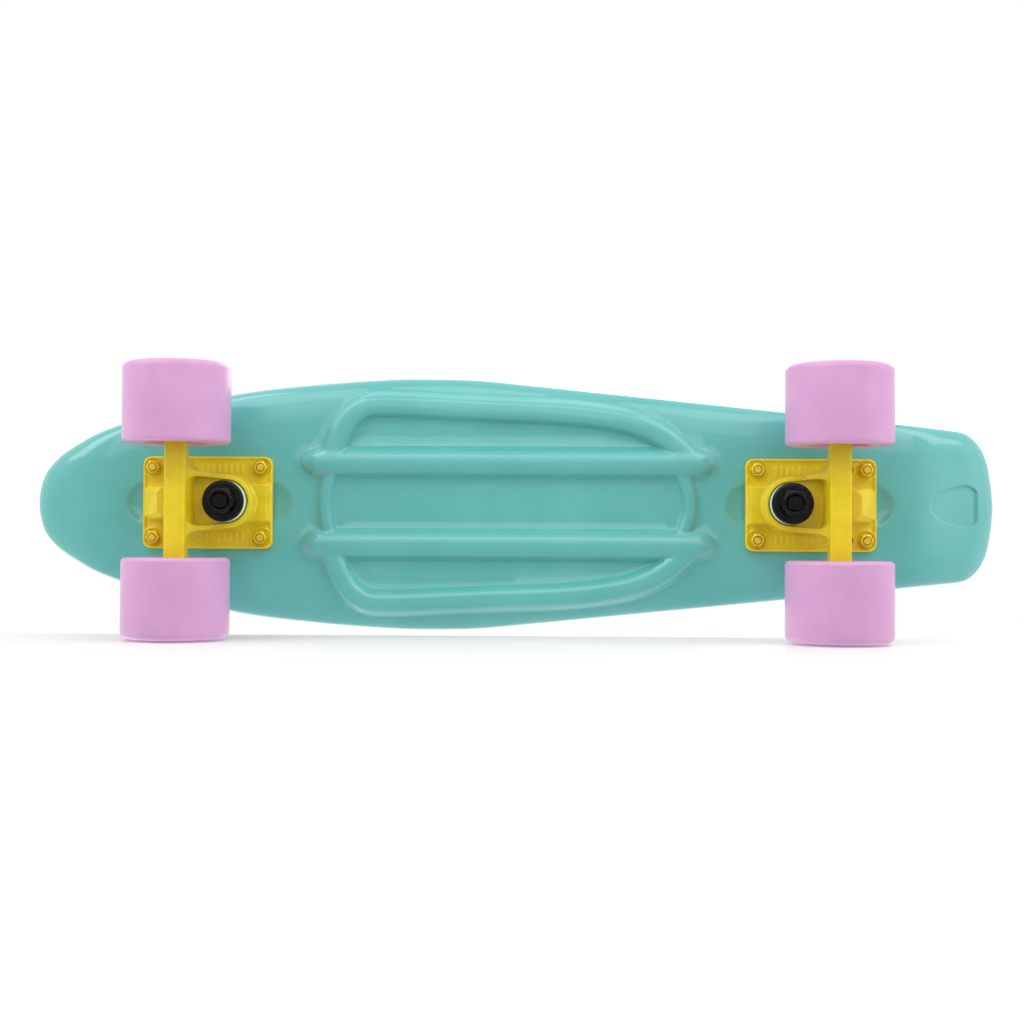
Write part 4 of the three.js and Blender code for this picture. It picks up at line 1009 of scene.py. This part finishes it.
def neckBody():
    h = hanger
    lap, front = h["pinReach"] + h["pinLap"], axleX + h["beamWidth"] / 2
    neck = sideProfile("neckSide", [
        (h["neckFrom"], h["webFrom"]), (beamFace, h["webFrom"] - h["neckKnee"]),
        onSteeringAxis(lap, -h["pinRadius"]), onSteeringAxis(lap, h["pinRadius"]),
        (front, beamUnder), (front, axleZ), (beamFace, axleZ),
        (beamFace, h["webTo"]), (h["neckFrom"], h["webTo"])], h["blankWidth"])
    w, s, end = h["neckHalfWidth"], h["spread"], h["blankTo"]
    knee = truck["pivot"][1] + w
    outline = [(-w, 0), (w, 0), (w, knee), (s, beamUnder), (s, end), (-s, end), (-s, beamUnder), (-w, knee)]
    slab = loft("neckFront", [[(side * h["blankLength"] / 2, y, z) for y, z in outline] for side in (-1, 1)])
    return combine(neck, [slab], "INTERSECT")


def makeHanger():
    h, k = hanger, truck["kingpin"]
    x, z = h["beamWidth"] / 2, h["beamDepth"] / 2
    corners = [(axleX - x, axleZ - z), (axleX + x, axleZ - z), (axleX + x, axleZ + z), (axleX - x, axleZ + z)]
    section = rounded(corners, h["beamEdge"], closed=True)
    body = combine(yokeBody(), [neckBody()], "UNION")
    radius, spread = h["yokeRadius"] - h["yokeWall"], h["spread"] - h["pocketInset"]
    pocket = yokeHalf(radius, spread, beamFace, h["pocketCorner"])
    cuts = [prism("pocket", mirrored(pocket), h["webTo"], h["blankTo"]),
            upAt(rod("webHole", *h["webHole"], 64), k)]
    combine(body, cuts, "DIFFERENCE")
    radius, reach = h["pinRadius"], h["pinReach"]
    tip = [(radius * math.sin(a), -radius * math.cos(a)) for a in np.linspace(0, math.pi / 2, 9)]
    root = reach + h["rootLength"]
    pin = turned("pivotPin", tip + [(radius, reach), (h["rootRadius"], root), (0, root)], 48)
    combine(body, [sideProfile("beam", section, 2 * h["reach"]), alongSteeringAxis(pin)], "UNION")
    bore = moved(rod("axleBore", *h["axleBore"]), Matrix.Rotation(math.pi / 2, 4, "X"))
    combine(body, [upAt(bore, axleX, 0, axleZ)], "DIFFERENCE")
    castRound(body, h["voxel"], h["smoothing"])
    print("hanger triangles", len(body.data.polygons))
    return finishMesh(body, yellowPaint, 60)


# Turned pieces of the kingpin stack

stack = {
    "kingpinRadius": 4.75, "boreGap": 0.25, "kingpinHead": 14.3, "headFrom": 0.2, "headHeight": 6.0,
    "kingpinEnd": 50.8,
    "thread": (0.35, 1.25), "tip": 0.9,   # depth and pitch of the thread, chamfer of the end
    "boardsideWasher": 10.6, "boardsideBushing": 12.3, "boardsideHeight": 12.6,
    "roadsideBushing": 30.3, "roadsideHeight": 10.6, "roadsideWasher": 41.1, "nut": 42.8,
    "washerRadius": 11.3, "washerThickness": 1.5, "washerFlare": 0.6, "washerLip": 1.2,
    "bushingRadius": 11.8, "bushingWaist": 0.7, "noseRadius": 8.0, "noseHeight": 2.2, "noseTaper": 0.7,
    "nutAcross": 14.3, "nutHeight": 7.0, "nutCollar": 2.0, "nutBore": 4.85,
}
pivotCup = {"inner": 0.15, "outer": 1.85, "mouth": 4}   # the first two are added to the pin's radius


# Fine thread drawn as rings of flat crests, from one height to the other
def threadRings(radius, depth, pitch, low, high):
    made = []
    for n in range(int((high - low) / pitch)):
        h = low + n * pitch
        made += [(radius - depth, h), (radius, h + pitch * 0.4), (radius, h + pitch * 0.6)]
    return made + [(radius - depth, high)]


def makeKingpin():
    s = stack
    radius, low, end, tip = s["kingpinRadius"], s["headFrom"], s["kingpinEnd"], s["tip"]
    plainTo, threadFrom = s["nut"] - 4, s["nut"] - 3
    shank = [(0, low), (radius, low), (radius, plainTo)]
    shank += threadRings(radius, *s["thread"], threadFrom, end - tip) + [(radius - tip, end), (0, end)]
    head = hexagonHead("kingpinHead", s["kingpinHead"], low, s["headHeight"])
    return finishMesh(combine(turned("kingpinShank", shank, 48), [head], "UNION"), blackOxide, 35)


# Hexagon bar with the corners of both ends turned off
def hexagonHead(name, across, low, high):
    corner, share, slope = across / math.sqrt(3), 0.9, 0.6   # share of the corners' overhang that goes
    cut = (corner - across / 2) * share
    bar = prism(name, hexagon(across), low, high)
    round_ = turned("turnedEnds", [(0, low), (corner - cut, low), (corner, low + cut * slope),
                                   (corner, high - cut * slope), (corner - cut, high), (0, high)], 60)
    return combine(bar, [round_], "INTERSECT")


# Hexagon nut with a round collar for its locking ring, and a flat washer under it if one is given
def lockNut(name, across, height, collar, bore, washer=None):
    # the collar's step, its lip and its share in the hexagon, and the bore cutter's length past the nut
    step, lip, sunk, past = 0.35, 0.5, 0.4, 3
    body = hexagonHead(name, across, 0, height - collar * (1 - sunk))
    radius = across / 2 - step
    ring = rounded([(0, 1), (radius, 1), (radius, height), (bore + lip, height), (bore + lip, height - lip),
                    (0, height - lip)], [0, 0, 0.8, 0.3, 0.2, 0])
    added = [turned("lockCollar", ring, 60)]
    if washer:
        radius, thickness = washer
        edge = rounded([(0, 0), (radius, 0), (radius, thickness), (0, thickness)], 0.25, 2)
        added.append(turned("speedWasher", edge, 60))
    combine(body, added, "UNION")
    return combine(body, [rod("nutBore", bore, -past, height + past)], "DIFFERENCE")


def flipped(piece, height):
    return moved(piece, Matrix.Translation((0, 0, height)) @ Matrix.Rotation(math.pi, 4, "X"))


def makeCupWasher(facing):
    s = stack
    bore, high = s["kingpinRadius"] + s["boreGap"], s["washerThickness"]
    flat, wall, slope = s["washerRadius"], 0.35, 0.15
    rim, rimTo = flat + s["washerFlare"], high + s["washerLip"]
    cup = rounded([(bore, 0), (flat, 0), (rim, high), (rim, rimTo), (rim - wall, rimTo), (flat + slope, high),
                   (bore, high)], [0.3, 1.2, 0.9, 0.15, 0.15, 0.3, 0.3], 4, closed=True)
    piece = turned("cupWasher", cup, 80, closed=True)
    if facing < 0:
        flipped(piece, high)
    return finishMesh(piece, blackOxide, 40)


def makeBushing(height, facing):
    s = stack
    bore, wide, tip = s["kingpinRadius"] + s["boreGap"], s["bushingRadius"], height + s["noseHeight"]
    waist, nose, taper = wide - s["bushingWaist"], s["noseRadius"], s["noseTaper"]
    barrel = rounded([(bore, 0), (waist, 0), (wide, height * 0.25), (wide, height * 0.75), (waist, height),
                      (nose, height), (nose - taper, tip), (bore, tip)],
                     [0.3, 0.9, 3, 3, 0.9, 0.4, 0.5, 0.3], 5, closed=True)
    piece = turned("bushing", barrel, 80, closed=True)
    if facing < 0:
        flipped(piece, height)
    return finishMesh(piece, mintUrethane, 40)


def makePivotCup():
    inner, outer = [hanger["pinRadius"] + pivotCup[wall] for wall in ("inner", "outer")]
    mouth = pivotCup["mouth"]
    hollow = [(inner * math.cos(a), -inner * math.sin(a)) for a in np.linspace(0, math.pi / 2, 10)]
    profile = rounded([(0, -outer), (outer, -outer), (outer, mouth), (inner, mouth)], [0, 1.2, 0.5, 0.4], 4)
    cup = turned("pivotCup", profile[:-1] + [(inner, mouth)] + hollow, 56)
    return finishMesh(alongSteeringAxis(cup), mintUrethane, 40)


# Mounting hardware

bolts = {"radius": 2.4, "headRadius": 4.6, "headHeight": 2.4, "top": -12.0, "end": 10.0,
         "thread": (0.25, 0.8), "tip": 0.5, "nutAcross": 7.0, "nutHeight": 5.0, "nutAt": 4.2,
         "edge": 0.15, "plainTo": 2, "threadFrom": 2.4, "tipDepth": 0.6, "nutBore": (2.5, -3, 9),
         "slot": (5.0, 1.0, 0.2), "slotFoot": (0.55, 0.75), "slotDepth": 1.9, "slotOver": 0.4}


def makeMountBolt():
    b = bolts
    radius, head, top, end, edge = [b[size] for size in ("radius", "headRadius", "top", "end", "edge")]
    profile = [(0, top), (head - edge, top), (head, top + edge),
               (radius, top + b["headHeight"]), (radius, b["plainTo"])]
    profile += threadRings(radius, *b["thread"], b["threadFrom"], end - b["tip"])
    body = turned("mountBolt", profile + [(radius - b["tipDepth"], end), (0, end)], 40)
    arms = []
    slot, (along, across) = roundedBox(*b["slot"], 1), b["slotFoot"]
    for turn in (0, math.pi / 2):
        foot = [(x * along, y * across) for x, y in slot]
        arm = drafted("driveSlot", foot, slot, -top - b["slotDepth"], -top + b["slotOver"])
        moved(arm, Matrix.Rotation(turn, 4, "Z") @ Matrix.Diagonal((1, 1, -1, 1)))
        arms.append(outward(arm))
    return finishMesh(combine(body, arms, "DIFFERENCE"), yellowZinc, 35)


def makeMountNut():
    b = bolts
    nut = hexagonHead("mountNut", b["nutAcross"], 0, b["nutHeight"])
    return finishMesh(combine(nut, [rod("nutBore", *b["nutBore"], 40)], "DIFFERENCE"), yellowZinc, 35)


# Wheels, bearings and axle

wheelSet = {
    "track": 54.5, "diameter": 60.0, "width": 45.0, "outerRound": 3.8, "innerRound": 2.4, "mouthRadius": 17.0,
    "mouthSlope": 1.5, "mouthEdge": 1.2,
    "bearingRadius": 11.0, "bearingWidth": 7.0, "bearingSpacing": 10.0, "fit": 0.1, "seatLip": 2.5,
    "outerShield": (1.7, 1.9), "innerShield": (2.1, 1.9), "shieldSunk": 0.45, "bearingEdge": 0.35,
    "spacerRadius": 5.5, "spacerGap": 0.15, "axleRadius": 3.97, "axleEnd": 75.0, "collarRadius": 6.35,
    "collarAt": (41.45, 42.35), "nutAt": 66.65, "nutAcross": 12.7, "nutHeight": 6.4, "nutCollar": 1.8,
    "nutBore": 4.07, "washer": (6.5, 0.9), "thread": (0.3, 1.06), "tip": 0.9,
}


# Turned pieces on the axle lie along Y
def onAxle(name, profile, sides, material, sharpAngle, closed=True):
    piece = moved(turned(name, profile, sides, closed), Matrix.Rotation(-math.pi / 2, 4, "X"))
    return finishMesh(piece, material, sharpAngle)


def makeWheel():
    w = wheelSet
    radius, half = w["diameter"] / 2, w["width"] / 2
    shoulder = w["bearingSpacing"] / 2
    seat, seatTo = w["bearingRadius"] + w["fit"], shoulder + w["bearingWidth"]
    mouth, slope, edge = w["mouthRadius"], w["mouthSlope"], w["mouthEdge"]
    halves = []
    for r in (w["outerRound"], w["innerRound"]):
        tread = arcPoints(radius - r, half - r, r, r, 0, math.pi / 2, 10)
        face = rounded([tread[-1], (mouth + slope, half), (mouth, half - edge),
                        (seat + edge, seatTo + edge), (seat, seatTo)], [0, edge, edge, 1.0, 0], 4)
        halves.append(tread + face[1:] + [(seat, shoulder), (w["bearingRadius"] - w["seatLip"], shoulder)])
    profile = halves[0] + [(a, -b) for a, b in reversed(halves[1])]
    return onAxle("wheel", profile, 128, pinkUrethane, 40)


def makeBearing():
    w = wheelSet
    bore, outer, half = w["axleRadius"] + w["fit"], w["bearingRadius"], w["bearingWidth"] / 2
    (ring, shield), (edge, innerRing), low = w["outerShield"], w["innerShield"], half - w["shieldSunk"]
    face = rounded([(outer, half), (outer - ring, half), (outer - shield, low), (bore + edge, low),
                    (bore + innerRing, half), (bore, half)], [0.35, 0.1, 0.1, 0.1, 0.1, 0.25], 2)
    face = [(outer, half - w["bearingEdge"])] + face[1:]
    return onAxle("bearing", mirrored(face), 72, brightSteel, 35)


def makeSpacer():
    w = wheelSet
    half, bore = w["bearingSpacing"] / 2 - w["spacerGap"], w["axleRadius"] + w["spacerGap"]
    ring = rounded([(bore, -half), (w["spacerRadius"], -half), (w["spacerRadius"], half), (bore, half)],
                   0.4, 2, closed=True)
    return onAxle("bearingSpacer", ring, 56, brightSteel, 40)


def makeAxle():
    w = wheelSet
    r, end, collar, edge = w["axleRadius"], w["axleEnd"], w["collarRadius"], 0.15
    low, high = w["collarAt"]
    half = [(r, low), (collar - edge, low), (collar, low + edge), (collar, high - edge),
            (collar - edge, high), (r, high), (r, w["nutAt"] - 1)]
    half += threadRings(r, *w["thread"], w["nutAt"], end - w["tip"]) + [(r - w["tip"], end), (0, end)]
    return onAxle("axle", [(a, -b) for a, b in reversed(half)] + half, 56, brightSteel, 35, closed=False)


# Each mesh is made once and shown on both trucks
def makeTrucks():
    w, s, k = wheelSet, stack, truck["kingpin"]
    castPlate, castHanger = makeBaseplate(), makeHanger()
    print("castings made")
    kingpinNut = lockNut("kingpinNut", s["nutAcross"], s["nutHeight"], s["nutCollar"], s["nutBore"])
    onDeck = [   # mesh, node, slot, place in the truck's frame
        (castPlate, "baseplate", "truck_paint", (0, 0, 0)),
        (makePivotCup(), "pivot_cup", "bushing_urethane", (0, 0, 0)),
        (makeKingpin(), "kingpin", "black_oxide", (k, 0, 0)),
        (finishMesh(kingpinNut, blackOxide, 35), "kingpin_nut", "black_oxide", (k, 0, s["nut"])),
        (makeCupWasher(1), "boardside_washer", "black_oxide", (k, 0, s["boardsideWasher"])),
        (makeCupWasher(-1), "roadside_washer", "black_oxide", (k, 0, s["roadsideWasher"])),
        (makeBushing(s["boardsideHeight"], 1), "boardside_bushing", "bushing_urethane",
         (k, 0, s["boardsideBushing"])),
        (makeBushing(s["roadsideHeight"], -1), "roadside_bushing", "bushing_urethane",
         (k, 0, s["roadsideBushing"])),
    ]
    bolt, boltNut = makeMountBolt(), makeMountNut()
    for i, (x, y) in enumerate(boltPlaces):
        onDeck.append((bolt, f"mount_bolt_{i + 1}", "yellow_zinc", (x, y, 0)))
        onDeck.append((boltNut, f"mount_nut_{i + 1}", "yellow_zinc", (x, y, bolts["nutAt"])))
    wheel, bearing, spacer, axle = makeWheel(), makeBearing(), makeSpacer(), makeAxle()
    axleNut = lockNut("axleNut", w["nutAcross"], w["nutHeight"], w["nutCollar"], w["nutBore"], w["washer"])
    axleNut = finishMesh(axleNut, brightSteel, 35)
    offset = (w["bearingSpacing"] + w["bearingWidth"]) / 2
    for prefix, frameMatrix in truckFrames.items():
        for mesh, node, slotName, spot in onDeck:
            there = frameMatrix @ Matrix.Translation(Vector(spot) * mm)
            showPiece(mesh, prefix + "_" + node, there, "deck")
        body = prefix + "_hanger"
        showPiece(castHanger, body, frameMatrix, body)
        middle = frameMatrix @ Vector((axleX * mm, 0, axleZ * mm))
        showPiece(axle, prefix + "_axle", Matrix.Translation(middle), body)
        for node, side in ((prefix + "_left", 1), (prefix + "_right", -1)):
            rolling, still = node + "_wheel", Matrix.Identity(4)
            facing = Matrix.Rotation(math.pi * (side < 0), 4, "Z")
            outwardTurn = Matrix.Rotation(-side * math.pi / 2, 4, "X")
            for mesh, ending, carrier, slotName, y, turn in (
                    (wheel, "_wheel", rolling, "wheel_urethane", w["track"], facing),
                    (bearing, "_inner_bearing", rolling, "plain_steel", w["track"] - offset, still),
                    (bearing, "_outer_bearing", rolling, "plain_steel", w["track"] + offset, still),
                    (spacer, "_bearing_spacer", body, "plain_steel", w["track"], still),
                    (axleNut, "_axle_nut", body, "plain_steel", w["nutAt"], outwardTurn)):
                there = Matrix.Translation(middle + Vector((0, side * y * mm, 0))) @ turn
                showPiece(mesh, node + ending, there, carrier)
    print("trucks and wheels placed")


makeTrucks()
